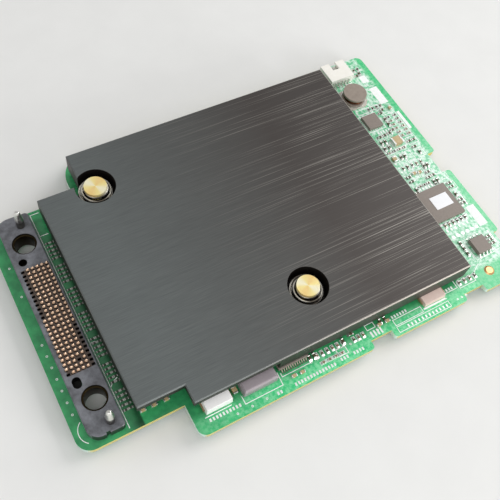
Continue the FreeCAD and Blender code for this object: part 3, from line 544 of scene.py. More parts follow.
def coil_tree():
    """A tree that winds round wire in a spiral that rises between its two flat ends."""
    tree, given, sink, identifiers = new_tree("wound_wire", (
        ("Turns", "Float"), ("Foot radius", "Float"), ("Belly radius", "Float"), ("Top radius", "Float"),
        ("Belly share", "Float"), ("Rise", "Float"), ("Flat share", "Float"), ("Wire radius", "Float"),
        ("Centre", "Vector"), ("Material", "Material")))
    circle = add_node(tree, "GeometryNodeCurveSpiral", {
        "Resolution": 40, "Rotations": given["Turns"], "Height": 0.0, "Start Radius": 1.0,
        "End Radius": 1.0})
    share = add_node(tree, "GeometryNodeSplineParameter").outputs["Factor"]
    widening = add_node(tree, "ShaderNodeMapRange", {
        "Value": share, "From Max": given["Belly share"],
        "To Min": given["Foot radius"], "To Max": given["Belly radius"]})
    closing = add_node(tree, "ShaderNodeMapRange", {
        "Value": share, "From Min": given["Belly share"],
        "To Min": given["Belly radius"], "To Max": given["Top radius"]})
    radius = add_node(tree, "ShaderNodeMath", {0: widening, 1: closing}, operation="MINIMUM")
    place = add_node(tree, "GeometryNodeInputPosition")
    ring = add_node(tree, "ShaderNodeVectorMath", {0: place, "Scale": radius}, operation="SCALE")
    last = add_node(tree, "ShaderNodeMath", {0: 1.0, 1: given["Flat share"]}, operation="SUBTRACT")
    level = add_node(tree, "ShaderNodeMapRange", {
        "Value": share, "From Min": given["Flat share"], "From Max": last, "To Max": given["Rise"]})
    lift = add_node(tree, "ShaderNodeCombineXYZ", {"Z": level})
    moved = add_node(tree, "ShaderNodeVectorMath", {0: lift, 1: given["Centre"]}, operation="ADD")
    raised = add_node(tree, "GeometryNodeSetPosition", {
        "Geometry": circle, "Position": ring, "Offset": moved})
    section = add_node(tree, "GeometryNodeCurvePrimitiveCircle", {
        "Resolution": 10, "Radius": given["Wire radius"]})
    wire = add_node(tree, "GeometryNodeCurveToMesh", {
        "Curve": raised, "Profile Curve": section, "Fill Caps": True})
    close_tree(tree, given, sink, wire)
    return tree, identifiers


def wound(name, centre, turns, radii, rise, flat_share, wire, material, replaced):
    """A coil of round wire as one piece on the card; its radii in mm are those of foot, belly and top."""
    tree, identifiers = coil_tree()
    values = {label + " radius": radius * MM for label, radius in zip(("Foot", "Belly", "Top"), radii)}
    mesh = grown(name, tree, identifiers, {
        **values, "Turns": float(turns), "Belly share": BELLY_SHARE, "Rise": rise * MM,
        "Flat share": flat_share, "Wire radius": wire * MM, "Centre": Vector(centre) * MM,
        "Material": material})
    smooth(mesh, WIRE_ANGLE)
    return finished(name, mesh, material, replaced)


# ---- Properties ----
def colour(name, description, code):
    """A colour that a user can change, with a hex code as its default."""
    return bpy.props.FloatVectorProperty(
        name=name, description=description, subtype="COLOR", size=4, min=0.0, max=1.0,
        default=linear(code))


class CardSizes(bpy.types.PropertyGroup):
    """Sizes of the small parts, in metres."""

    wire_radius: bpy.props.FloatProperty(
        name="Spring wire radius", description="Radius of the wire of the push pins' springs",
        default=0.24 * MM, min=0.1 * MM, max=0.4 * MM, precision=5, unit="LENGTH")
    spring_turns: bpy.props.FloatProperty(
        name="Spring turns", description="Turns of wire in each spring", default=4.6, min=2.0, max=7.0)
    print_height: bpy.props.FloatProperty(
        name="Print thickness", description="Thickness of the white print on the board",
        default=0.02 * MM, min=0.005 * MM, max=0.1 * MM, precision=6, unit="LENGTH")
    copper_margin: bpy.props.FloatProperty(
        name="Copper margin", description="Width of the board's edge that has no copper under the mask",
        default=0.8 * MM, min=0.2 * MM, max=2.0 * MM, precision=5, unit="LENGTH")


class CardColours(bpy.types.PropertyGroup):
    """Colours of the main surfaces."""

    bare_mask: colour("Mask on laminate", "Solder mask where no copper lies under it", "52d68a")
    copper_mask: colour("Mask on copper", "Solder mask over the copper planes", "3ea867")
    plate: colour("Plate", "Lighter tone of the anodised plate", "7a807f")
    plate_streak: colour("Plate streaks", "Darker tone of the anodised plate's brush lines", "686d6d")
    ink: colour("Print", "White print on the board", "ffffff")


# ---- Pieces ----
class CARD_OT_board(bpy.types.Operator):
    """Give the circuit board its mask, its laminate edge and its copper planes."""

    bl_idname = "card.board"
    bl_label = "Board"

    GLOSS = {"Coat Weight": 0.4, "Coat Roughness": 0.12}
    HATCH = (0.9, (0.38, 0.62))   # the hatching's size in mm and the noise levels between its colours

    def execute(self, context):
        sizes, colours = context.scene.card_sizes, context.scene.card_colours
        # Glossy liquid solder mask on glass laminate: wet-looking green, tan woven edge.
        board = new_material("solder_mask_on_laminate", "b8a440", "e6d868", (1.2, 1.2, 0.12),
                             {"Roughness": 0.28, **self.GLOSS}, (0.9, 0.004), (0.3, 0.7))
        tree = board.node_tree
        # Painted highlight: edges that face the connector's end are painted pale, as the glint of light on
        # the cut laminate.
        lay_over(board, "cfeee0", facing(tree, "X"), -0.3, -0.6)
        mask = mottled(tree, colours.bare_mask, "2c9a5a", 6.0, (0.35, 0.65), 0.35)
        lay_over(board, mask, level_faces(tree), 0.4, 0.6)
        dress(board, "board")
        planes = self.mask_on_copper(colours)
        for name, side in (("copper_plane_top", 1), ("copper_plane_bottom", -1)):
            piece(name, self.plane(side, sizes.copper_margin / MM), planes, smoothed=False)
        return {"FINISHED"}

    def mask_on_copper(self, colours):
        """The same mask over copper planes: a darker green with a faint mottle, paler over hatched fill and
        with painted glare beside the plate, darker with a painted shadow between the connector and the
        plate.
        """
        planes = new_material("solder_mask_on_copper", colours.copper_mask, "2d8653", 3.0,
                              {"Roughness": 0.26, **self.GLOSS}, (0.7, 0.004), (0.35, 0.65))
        tree = planes.node_tree
        plate_low, plate_high = where("heatsink_plate")
        board_low, board_high = where("board")
        housing_high = where("connector_housing")[1]
        # Beside the plate there is only hatched ground fill; it is painted paler than the planes, partly for
        # the fill and partly as painted glare of the light on that side.
        right = fade(tree, "X", plate_high.x + 1, plate_high.x + 6)
        # The connector's end of the front stays as dark as the planes.
        front = add_node(tree, "ShaderNodeMath", {
            0: fade(tree, "Y", plate_low.y - 0.5, plate_low.y - 3, 0.0, 0.85),
            1: fade(tree, "X", plate_low.x + 8, plate_low.x + 40, 0.3, 1.0)}, operation="MULTIPLY")
        fill = add_node(tree, "ShaderNodeMath", {0: right, 1: front}, operation="MAXIMUM")
        # The underside has one whole plane and no hatching.
        upward = add_node(tree, "ShaderNodeMapRange", {"Value": facing(tree, "Z"), "From Max": 0.5})
        fill = add_node(tree, "ShaderNodeMath", {0: fill, 1: upward}, operation="MULTIPLY")
        # The outer margin has no fill under it and keeps the mask's full green.
        margin = add_node(tree, "ShaderNodeMath", {
            0: fade(tree, "X", board_high.x - 2.6, board_high.x - 1.6, 0.0, 0.8),
            1: fade(tree, "Y", board_low.y + 7.5, board_low.y + 6, 0.0, 0.8)}, operation="MAXIMUM")
        hatch = add_node(tree, "ShaderNodeMix", {
            0: margin, 6: mottled(tree, "62c48e", "dcf5e6", *self.HATCH), 7: "22c678"}, data_type="RGBA")
        # Painted glare: beside the plate the hatch gets the palest greens.
        hatch = add_node(tree, "ShaderNodeMix", {
            0: right, 6: mottled(tree, "38d284", "90f0b4", *self.HATCH), 7: hatch}, data_type="RGBA")
        lay_over(planes, hatch, fill)
        # Painted shadow: the strip between the connector and the plate is painted darker towards the plate,
        # as the plate's shadow.
        plate_shadow = add_node(tree, "ShaderNodeMath", {
            0: fade(tree, "X", housing_high.x + 0.6, plate_low.x + 0.2, 0.0, 0.85),
            1: fade(tree, "X", plate_low.x + 1.2, plate_low.x + 0.8)}, operation="MULTIPLY")
        plate_shadow = add_node(tree, "ShaderNodeMath", {
            0: plate_shadow, 1: fade(tree, "Y", housing_high.y - 6, housing_high.y - 9)}, operation="MULTIPLY")
        lay_over(planes, "15301f", plate_shadow)
        return planes

    def plane(self, side, margin):
        """A thin sheet that follows one face of the board, drawn in from every edge and hole."""
        low, high = where("board")
        level = high.z if side > 0 else low.z
        bm = merged("board")
        drop = [face for face in bm.faces if face.normal.z * side < 0.9]
        bmesh.ops.delete(bm, geom=drop, context="FACES")
        ring = bmesh.ops.inset_region(bm, faces=bm.faces[:], thickness=margin, use_even_offset=True)
        bmesh.ops.delete(bm, geom=ring["faces"], context="FACES")
        made = bmesh.ops.extrude_face_region(bm, geom=bm.faces[:])
        lifted = [item for item in made["geom"] if isinstance(item, bmesh.types.BMVert)]
        for vert in lifted:
            vert.co.z = level + side * COPPER_RISE
        bmesh.ops.recalc_face_normals(bm, faces=bm.faces)
        return bm


class CARD_OT_plate(bpy.types.Operator):
    """Give the heatsink plate its brushed black anodised finish."""

    bl_idname = "card.plate"
    bl_label = "Heatsink plate"

    # Sizes in mm of the brush lines. Real ones are near 0.05 mm wide; these are wider, so that they show.
    FINE_LINES = (7.0, 0.17, 0.17)
    BRIGHT_LINES = (40.0, 0.2, 0.2)
    BROAD_BANDS = (45.0, 9.0, 9.0)
    BORE_EDGE = (5.56, 5.52)      # distances in mm from a pin's axis between which the bore begins

    def execute(self, context):
        # Aluminium brushed along its length and anodised black: thin long bright lines in a dark sheen.
        colours = context.scene.card_colours
        noise = {"detail": 2.0, "roughness": 0.7}
        plate = new_material("brushed_black_anodised_aluminium", colours.plate_streak, colours.plate,
                             self.FINE_LINES, {"Metallic": 0.7}, None, (0.25, 0.75), **noise)
        tree, shader = plate.node_tree, shader_of(plate)
        bump = add_node(tree, "ShaderNodeBump", {
            "Height": grain(tree, self.FINE_LINES, **noise), "Distance": 0.003 * MM})
        tree.links.new(bump.outputs["Normal"], shader.inputs["Normal"])
        sheen = add_node(tree, "ShaderNodeMapRange", {
            "Value": grain(tree, self.BROAD_BANDS, 2.0), "From Min": 0.3, "From Max": 0.7,
            "To Min": 0.42, "To Max": 0.5})
        tree.links.new(sheen.outputs["Result"], shader.inputs["Roughness"])
        low, high = where("heatsink_plate")
        # Painted reflection: the plate is painted warmer and darker away from the connector, as a brownish
        # reflection.
        warm = fade(tree, "X", low.x * 0.8, high.x * 0.4, 0.0, 0.8)
        lay_over(plate, "453b37", warm)
        # The brush lines are real, but they are painted stronger towards the right end, as a painted
        # highlight there.
        depth = fade(tree, "X", low.x * 0.4, high.x, 0.05, 1.0)
        lines = add_node(tree, "ShaderNodeMapRange", {
            "Value": grain(tree, self.BRIGHT_LINES, 1.0, 0.75), "From Min": 0.58, "From Max": 0.74})
        lines = add_node(tree, "ShaderNodeMath", {0: lines, 1: depth}, operation="MULTIPLY")
        lay_over(plate, "a39f98", lines)
        # The sides were sawn, not brushed; their tone is painted shade and light: darker at the connector's
        # end, greyer at the other.
        sawn_side_shading = add_node(tree, "ShaderNodeMix", {0: warm, 6: "3a3836", 7: "57524e"}, data_type="RGBA")
        lay_over(plate, sawn_side_shading, level_faces(tree), 0.6, 0.4)
        # Painted highlight: the rounded edge between top and sides is painted bright, most of all towards
        # the right end.
        slopes = [add_node(tree, "ShaderNodeMapRange", {
            "Value": level_faces(tree), "From Min": start, "From Max": end})
            for start, end in ((0.2, 0.5), (0.98, 0.85))]
        arris_highlight = add_node(tree, "ShaderNodeMath", {0: slopes[0], 1: slopes[1]}, operation="MULTIPLY")
        arris_highlight = add_node(tree, "ShaderNodeMath", {0: arris_highlight, 1: depth}, operation="MULTIPLY")
        lay_over(plate, "a8a199", arris_highlight)
        # Bores are milled, not brushed; their plain deep black is painted shade.
        pins = [middle("push_pin_front"), middle("push_pin_rear")]
        start, end = self.BORE_EDGE
        lay_over(plate, "211d1c", axis_distance(tree, pins), start * MM, end * MM)
        softened(("heatsink_plate",), "brushed_plate", 0.1, plate)
        return {"FINISHED"}


class CARD_OT_push_pins(bpy.types.Operator):
    """Give the push pins their turned brass and wind their springs."""

    bl_idname = "card.push_pins"
    bl_label = "Push pins and springs"

    SPRING_RADII = (3.7, 4.5, 2.75)   # to the middle of the wire, at the foot, the belly and the top
    FLAT_SHARE = 0.13                 # share of the wire that lies flat at each end

    def execute(self, context):
        sizes = context.scene.card_sizes
        centres = [middle("push_pin_front"), middle("push_pin_rear")]
        # Free-cutting brass, turned: pale yellow with fine rings.
        brass = turned_metal("turned_brass", "fde48e", "fff3b0", centres, 0.36, 0.01, 0.3, 0.4)
        # Painted sheen: two opposite fans round each axis, one pair amber and one pair pale, are painted as
        # the turning marks' highlights.
        tree = brass.node_tree
        lay_over(brass, "f0ac68", fans(tree, *centres, math.radians(38)), 0.45, 1.0, 0.34)
        lay_over(brass, "fffbe0", fans(tree, *centres, math.radians(128)), 0.6, 1.0, 0.8)
        dress(brass, "push_pin_front", "push_pin_rear")
        # Drawn spring wire, nickel plated: bright and a little streaked along the wire.
        wire = new_material("plated_spring_wire", "c4c0b4", "f6f2e8", (0.8, 0.8, 0.3),
                            {"Metallic": 0.6, "Roughness": 0.42}, (0.15, 0.004))
        # Painted shade: in front of and behind the shank the coils are painted dark, as the shade under the
        # head and the dark bore's reflection.
        lay_over(wire, "3a2c20", fans(wire.node_tree, *centres, math.pi / 2), 0.5, 0.95, 0.85)
        radius = sizes.wire_radius / MM
        for end in ("front", "rear"):
            low, high = where("spring_" + end)
            x, y = middle("push_pin_" + end)
            height = high.z - low.z
            spring = wound("spring_wire_" + end, (x, y, low.z + radius), sizes.spring_turns,
                           self.SPRING_RADII, height - 2 * radius, self.FLAT_SHARE, radius, wire,
                           ("spring_" + end,))
            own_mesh(spring)
        return {"FINISHED"}


class CARD_OT_connector(bpy.types.Operator):
    """Build the compression connector's contacts, bushings and guide pins."""

    bl_idname = "card.connector"
    bl_label = "Compression connector"

    LINING_RADII = (2.65, 3.15)
    LOCATING_RADIUS = 1.08
    DISC_RISE = 0.06              # how far the dark discs of painted hole shade stand above the board
    SLOT_SLIP = 0.4               # half of how much longer than wide the slotted hole is
    COLLAR_RADII = (1.11, 1.4)
    COLLAR_DEPTH = 0.3            # how far the guide pins' collars reach below the housing's face
    LINING_EDGE = 0.2
    SHANK_RADIUS, SHANK_HEIGHT = 1.1, 3.4
    NOSE_RADII = (0.72, 0.5)      # where a guide pin's nose begins and at its tip
    NOSE_LENGTH = 0.6
    # A contact leaf's way up: across from the middle of its cavity, height, width.
    LEAF_PATH = (
        (0.36, 0.0, 0.5), (0.36, 1.3, 0.56), (0.35, 1.6, 0.62), (0.27, 1.84, 0.66),
        (0.12, 1.98, 0.66), (-0.06, 2.0, 0.62), (-0.22, 1.93, 0.54), (-0.35, 1.78, 0.42),
    )
    LEAF_THICKNESS, LEAF_CROWN = 0.07, 0.1
    # The corners of its section: side, face, and one where the crown falls away.
    LEAF_SECTION = ((-1, -1, 1), (0, -1, 0), (1, -1, 1), (1, 1, 1), (0, 1, 0), (-1, 1, 1))

    def execute(self, context):
        self.dress_housing()
        self.add_contacts()
        self.add_linings()
        self.add_locating_holes()
        self.add_guide_pins()
        return {"FINISHED"}

    def dress_housing(self):
        """Glass-filled polymer, moulded: matt grey with a fine speckle of fibre ends."""
        moulding = new_material("glass_filled_polymer", "545559", "7b7d83", 3.0, {"Roughness": 0.34},
                                (0.25, 0.01), (0.35, 0.65), detail=5.0, roughness=0.7)
        tree = moulding.node_tree
        x, y = middle("connector_contacts")
        contacts_low, contacts_high = where("connector_contacts")
        half = (contacts_high.y - contacts_low.y) / 2
        face = where("connector_housing")[1].z
        # Painted reflection and shade: between the contacts the moulding is painted brown, as the gold's
        # reflection and the shade among them.
        reflected_gold_and_shade = add_node(tree, "ShaderNodeMath", {
            0: fade_about(tree, "Y", y, half + 0.3, half + 0.1),
            1: fade_about(tree, "X", x, 3.6, 3.3)}, operation="MULTIPLY")
        lay_over(moulding, "4c413a", reflected_gold_and_shade)
        # Below the rim of the cavities the moulding lies in deep shade and looks black.
        shade = add_node(tree, "ShaderNodeMath", {
            0: fade_about(tree, "X", x, 4.06, 4.0),
            1: fade(tree, "Z", face - 0.12, face - 0.3)}, operation="MULTIPLY")
        lay_over(moulding, "060606", shade)
        dress(moulding, "connector_housing")

    def add_contacts(self):
        """Stamped copper alloy, gold plated: warm and bright on the bend."""
        gold = new_material("gold_plated_contact", "eab592", "ffe8cc", 0.6,
                            {"Metallic": 0.85, "Roughness": 0.2})
        floor = where("connector_contacts")[0].z
        places = [((low.x + high.x) / 2, (low.y + high.y) / 2, floor)
                  for low, high in islands("connector_contacts")]
        repeated("contact_springs", self.leaf(), places, gold, unevenness=0.05, seed=4,
                 replaced=("connector_contacts",))

    def add_linings(self):
        """Brass bushings in a dark brown, one lining in each screw bore."""
        screws = [middle("bushing_front"), middle("bushing_rear")]
        lining = turned_metal("dark_brass_bushing", "1c1811", "3e3420", screws, 0.3, 0.006, 0.4)
        low, high = where("bushing_front")
        # The upper outer corner is hidden against the housing and stays square.
        profile = rounded_profile(
            tube(self.LINING_RADII, low.z, high.z), dict.fromkeys((0, 1, 3), self.LINING_EDGE))
        bm = bmesh.new()
        for x, y in screws:
            add_spun(bm, x, y, profile, hollow=True)
        piece("bushing_linings", bm, lining, replaced=("bushing_front", "bushing_rear"))

    def add_locating_holes(self):
        """Painted shade: dark discs over both locating holes, a round one and a slot, stand in for the shade
        of holes that the board's solid lacks.
        """
        hole_shade = moulded("painted_hole_shade", "0c0b0a", "191714", 0.3, 0.01, 0.7)
        level = where("board")[1].z
        mount = [item for item in frame["record"]["mounts"] if item["name"] == "locating_hole"][0]
        x, y = mount["pos_m"][0] / MM, mount["pos_m"][1] / MM
        mirrored = 2 * middle("connector_contacts")[1] - y
        bm = bmesh.new()
        # The slot's two discs differ a little in height, so that they don't share a face.
        slip, step = self.SLOT_SLIP, 0.008
        for centre, rise in ((y, 0.0), (mirrored - slip, -step), (mirrored + slip, step)):
            add_spun(bm, x, centre, tube(
                (0.0, self.LOCATING_RADIUS), level, level + self.DISC_RISE + rise), 48)
        piece("drilled_locating_holes", bm, hole_shade, smoothed=False)

    def add_guide_pins(self):
        """Turned steel guide pins and the collars of the housing that hold them."""
        guides = [middle("guide_pin_front"), middle("guide_pin_rear")]
        steel = turned_metal("turned_steel", "d8d8d4", "fbfaf4", guides, 0.25, 0.004, 0.3)
        low, high = where("guide_pin_front")
        shoulder = where("connector_housing")[1].z
        foot = shoulder - self.COLLAR_DEPTH
        base, shank = self.COLLAR_RADII[1], self.SHANK_RADIUS
        nose, tip = self.NOSE_RADII
        pins, collars = bmesh.new(), bmesh.new()
        profile = rounded_profile([
            (0, low.z), (base, low.z), (base, foot), (shank, foot), (shank, shoulder + self.SHANK_HEIGHT),
            (nose, high.z - self.NOSE_LENGTH), (tip, high.z), (0, high.z)], {4: 0.5, 5: 0.4, 6: 0.3})
        for x, y in guides:
            add_spun(pins, x, y, profile, steps=48)
            add_spun(collars, x, y, tube(self.COLLAR_RADII, foot + 0.01, shoulder), steps=48, hollow=True)
        # Painted light: the nose keeps its bright polished tone and the shank below is painted darker, as
        # shade.
        lay_over(steel, "6d6a65", fade(steel.node_tree, "Z", shoulder + 3.6, shoulder + 2.4))
        moulding = bpy.data.materials["glass_filled_polymer"]
        piece("guide_pin_collars", collars, moulding)
        piece("guide_pins_turned", pins, steel,
              replaced=("guide_pin_front", "guide_pin_rear"))

    def leaf(self):
        """One bent contact leaf that stands against its cavity's wall and hooks over at the top."""
        bm = bmesh.new()
        rings = []
        for index, (across, rise, width) in enumerate(self.LEAF_PATH):
            before = Vector(self.LEAF_PATH[max(index - 1, 0)][:2])
            after = Vector(self.LEAF_PATH[min(index + 1, len(self.LEAF_PATH) - 1)][:2])
            heading = (after - before).normalized()
            out = Vector((-heading.y, heading.x))
            rings.append([bm.verts.new((
                across + (face * self.LEAF_THICKNESS / 2 - sink * self.LEAF_CROWN) * out.x,
                side * width / 2,
                rise + (face * self.LEAF_THICKNESS / 2 - sink * self.LEAF_CROWN) * out.y))
                for side, face, sink in self.LEAF_SECTION])
        skin(bm, rings)
        bmesh.ops.recalc_face_normals(bm, faces=bm.faces)
        return bm


def column_places():
    """Places of the capacitors in two columns between the connector and the plate."""
    low, high = where("connector_housing")
    level = where("board")[1].z
    places = []
    for across in (1.5, 2.75):
        for group in range(7):
            for index in range(5):
                places.append((high.x + across, low.y + 4.0 + group * 7.6 + index * 1.25, level))
    return places


def small_chip_places():
    """Places and turns of all the smallest chips."""
    places = column_places()
    turns = [0.0] * len(places)
    for node in ("right_small_chips", "front_small_chips"):
        for low, high in islands(node):
            places.append(((low.x + high.x) / 2, (low.y + high.y) / 2, low.z))
            turns.append(0.0 if high.x - low.x > high.y - low.y else math.pi / 2)
    return places, turns


def spot(right, front):
    """The x and y, in mm, of a place given by its distance from the board's right and front edges."""
    low, high = where("board")
    return high.x - right, low.y + front


class CARD_OT_small_chips(bpy.types.Operator):
    """Place the columns of chip capacitors and give every small chip its ends and solder."""

    bl_idname = "card.small_chips"
    bl_label = "Small chips"

    # Single chips beside the plate that lie along X, then those that lie along Y: right, front.
    ALONG_X = (
        (5.5, 52.8), (3.8, 52.8), (5.2, 50.3), (13.9, 41.2), (13.9, 39.5), (7.2, 40.5), (8.2, 38.7),
        (6.4, 38.9), (3.6, 32.9), (3.6, 34.3), (3.9, 27.9), (3.9, 26.6), (4.6, 13.9), (4.6, 12.7),
        (4.6, 11.5), (5.8, 82.5), (7.5, 65.9), (7.9, 58.7), (9.6, 58.1), (11.6, 57.9), (13.4, 57.8),
        (6.3, 66.9), (58.6, 6.3), (15.0, 35.4), (9.9, 27.0),
    )
    ALONG_Y = (
        (14.5, 53.2), (12.9, 53.2), (6.9, 42.7), (5.7, 42.7), (7.6, 36.6), (6.3, 36.6), (14.4, 36.3),
        (4.2, 30.0), (13.9, 15.4), (13.9, 13.7), (13.9, 11.9), (4.4, 83.1), (7.6, 63.2), (7.6, 61.1),
        (14.2, 55.6), (12.8, 55.6), (4.8, 47.9), (61.5, 5.6), (70.4, 5.6), (71.8, 5.6), (49.4, 5.9),
        (47.9, 5.9), (11.7, 48.4), (10.3, 48.4),
    )

    # A 0402 chip, in mm: half length, half width and height of its body, then its caps and solder.
    BODY = (0.36, 0.24, 0.38)
    BODY_EDGE = 0.03
    CAP = (0.27, 0.52)            # where a cap begins and ends along the chip
    CAP_WIDTH, CAP_HEIGHT, CAP_EDGE = 0.53, 0.42, 0.04
    SOLDER = ((0.51, 0.0), (0.78, 0.0), (0.72, 0.05), (0.51, 0.26))
    SOLDER_WIDTH = 0.56
    SINGLE_SCALE = 1.4            # the size of a single chip beside that of those in columns

    def execute(self, context):
        # Fired barium titanate: matt brown-grey.
        ceramic = new_material("fired_grey_ceramic", "3c352f", "8d7558", 3.5, {"Roughness": 0.5},
                               (0.12, 0.004), (0.42, 0.58), detail=1.0)
        dress(ceramic, "right_small_chips", "front_small_chips")
        # The same, fired in air: pale tan.
        tan = moulded("fired_tan_ceramic", "ab9168", "d6c296", 0.12, 0.004, 0.45)
        dress(tan, "large_capacitors")
        # Coated array capacitors: a dark olive body.
        coated = moulded("coated_olive_ceramic", "2f352c", "4b5144", 0.3, 0.004, 0.45)
        repeated("column_capacitors", slab(self.BODY, self.BODY_EDGE), column_places(), coated,
                 unevenness=0.03, seed=7)
        # Glazed thick-film resistors: near black, a little glossy.
        glaze = moulded("glazed_resistor", "3a3526", "655c42", 0.3, 0.004, 0.3)
        tin = reflowed_tin()
        level = where("board")[1].z
        single = [(*spot(*place), level) for place in self.ALONG_X + self.ALONG_Y]
        turns = [0.0] * len(self.ALONG_X) + [math.pi / 2] * len(self.ALONG_Y)
        for name, shape, material, slot in (
                ("single_chips", slab(self.BODY, self.BODY_EDGE), glaze, "tan_ceramic"),
                ("single_chip_ends", self.ends(), tin, "tinned_metal")):
            repeated(name, shape, single, material, turns=turns, scale=self.SINGLE_SCALE)
        places, turns = small_chip_places()
        repeated("chip_ends", self.ends(), places, tin, turns=turns)
        softened(("large_terminals",), "large_chip_ends", 0.08, tin)
        return {"FINISHED"}

    def ends(self):
        """Both end caps of a chip, with the solder that climbs them."""
        bm = bmesh.new()
        width, height = self.CAP_WIDTH / 2, self.CAP_HEIGHT
        for end in (-1, 1):
            start, stop = sorted(end * reach for reach in self.CAP)
            add_box(bm, (start, -width, 0.0), (stop, width, height), self.CAP_EDGE)
            skin(bm, [[bm.verts.new((end * x, side * self.SOLDER_WIDTH / 2, z)) for x, z in self.SOLDER]
                      for side in (-1, 1)])
        bmesh.ops.recalc_face_normals(bm, faces=bm.faces)
        return bm


class CARD_OT_chips(bpy.types.Operator):
    """Finish the moulded chips, their leads, the label and the chips under the plate."""

    bl_idname = "card.chips"
    bl_label = "Chips"

    def execute(self, context):
        # Epoxy moulding compound: matt dark brown-grey with a fine spark-eroded grain.
        epoxy = moulded("moulded_epoxy", "7d736b", "91867d", 0.12, 0.008, 0.46)
        softened(("flash_chip", "power_chip", "soic_body", "fine_chip_body"), "moulded_chips", 0.08, epoxy)
        dress(epoxy, "controller_chip", *["memory_chip_%d" % number for number in range(1, 6)])
        # Filled silicone sheet: dull grey and slightly rough.
        pad = moulded("silicone_thermal_pad", "8f9496", "a4a9ab", 0.4, 0.01, 0.7)
        dress(pad, "controller_pad", *["memory_pad_%d" % number for number in range(1, 6)])
        dress(reflowed_tin(), "soic_leads")
        # Alloy leads that were plated matt before forming: dull and dark.
        dull = new_material("matt_plated_leads", "6d665b", "9a9184", 0.4,
                            {"Metallic": 0.7, "Roughness": 0.5}, (0.2, 0.004))
        dress(dull, "fine_chip_leads")
        # Coated paper: white and smooth, with no gloss.
        paper = moulded("coated_label_paper", "f0f1f4", "fafafc", 0.3, 0.006, 0.55)
        softened(("flash_label",), "blank_label", 0.03, paper)
        return {"FINISHED"}


class CARD_OT_coils(bpy.types.Operator):
    """Finish the drum coil, the power inductor and the block capacitors."""

    bl_idname = "card.coils"
    bl_label = "Coils and block capacitors"

    WINDING_TURNS = 5
    WINDING_RADIUS = 3.14         # to the middle of the wire
    WIRE_RADIUS = 0.16
    RIM_RADII = (3.84, 4.02)
    RIM_RISE = 0.3
    # Each coloured or pressed case: CAD node, piece, material and its values, edge radius, slot.
    CASES = (
        # Sintered ferrite: dense, dull grey-brown.
        ("drum_core", "drum_spool", ("sintered_ferrite", "85796f", "a3978b", 0.2, 0.01, 0.3),
         0.12, "ferrite"),
        # Moulded base of the drum: matt, pale and slightly warm.
        ("drum_base", "drum_foot", ("moulded_coil_base", "b9b2a6", "cbc5ba", 0.2, 0.006, 0.5),
         0.06, "grey_moulding"),
        # Pressed iron powder under lacquer: grey with a dense speckle.
        ("power_inductor", "inductor_body", ("pressed_iron_powder", "948b90", "a69da1", 0.18, 0.012, 0.45),
         0.12, "grey_moulding"),
        # Moulded polymer capacitor case: nearly white and smooth; the same kind of case as the beige one,
        # its white partly painted glare.
        ("block_capacitor_left", "block_capacitor_pale",
         ("pale_case_with_painted_glare", "fbf9f6", "ffffff", 0.2, 0.006, 0.4), 0.12, "pale_moulding"),
        # The same kind of case in a beige compound, without painted glare.
        ("block_capacitor_right", "block_capacitor_beige",
         ("beige_moulded_case", "dcc2b6", "e8d2c8", 0.2, 0.006, 0.45), 0.12, "pale_moulding"),
    )

    def cover(self, node, name, finish, radius, slot):
        """Put one case over its solid."""
        softened((node,), name, radius, moulded(*finish))

    def add_winding(self):
        """The drum's turns of wire, and the tinned rim round its foot."""
        # Enamelled copper: a dark red-brown gloss over metal.
        copper = new_material("enamelled_copper_wire", "4a2c1e", "6e442c", (0.5, 0.5, 0.2),
                              {"Metallic": 0.9, "Roughness": 0.3})
        low, high = where("drum_winding")
        wire = self.WIRE_RADIUS
        wound("drum_wire", (*middle("drum_core"), low.z + wire), self.WINDING_TURNS,
              (self.WINDING_RADIUS,) * 3, high.z - low.z - 2 * wire, 0.0, wire, copper,
              ("drum_winding",))
        rim = bmesh.new()
        foot = where("drum_base")[1].z
        add_spun(rim, *middle("drum_base"), tube(self.RIM_RADII, foot, foot + self.RIM_RISE), hollow=True)
        piece("drum_rim", rim, reflowed_tin())

    def execute(self, context):
        spool, *others = self.CASES
        self.cover(*spool)
        self.add_winding()
        for case in others:
            self.cover(*case)
        # Clip terminals of bronze strip under a thin tin wash: tan and half bright.
        strip = new_material("tinned_bronze_strip", "a07c5c", "d0b493", 0.5,
                             {"Metallic": 0.6, "Roughness": 0.4}, (0.2, 0.006))
        dress(strip, "block_terminals")
        return {"FINISHED"}


class CARD_OT_battery_connector(bpy.types.Operator):
    """Finish the battery connector."""

    bl_idname = "card.battery_connector"
    bl_label = "Battery connector"

    def execute(self, context):
        # Nylon, moulded: off-white with a soft gloss.
        nylon = moulded("moulded_white_nylon", "f0ece2", "faf8f1", 0.25, 0.005, 0.38)
        dress(nylon, "battery_housing")
        dress(reflowed_tin(), "battery_pins")
        return {"FINISHED"}


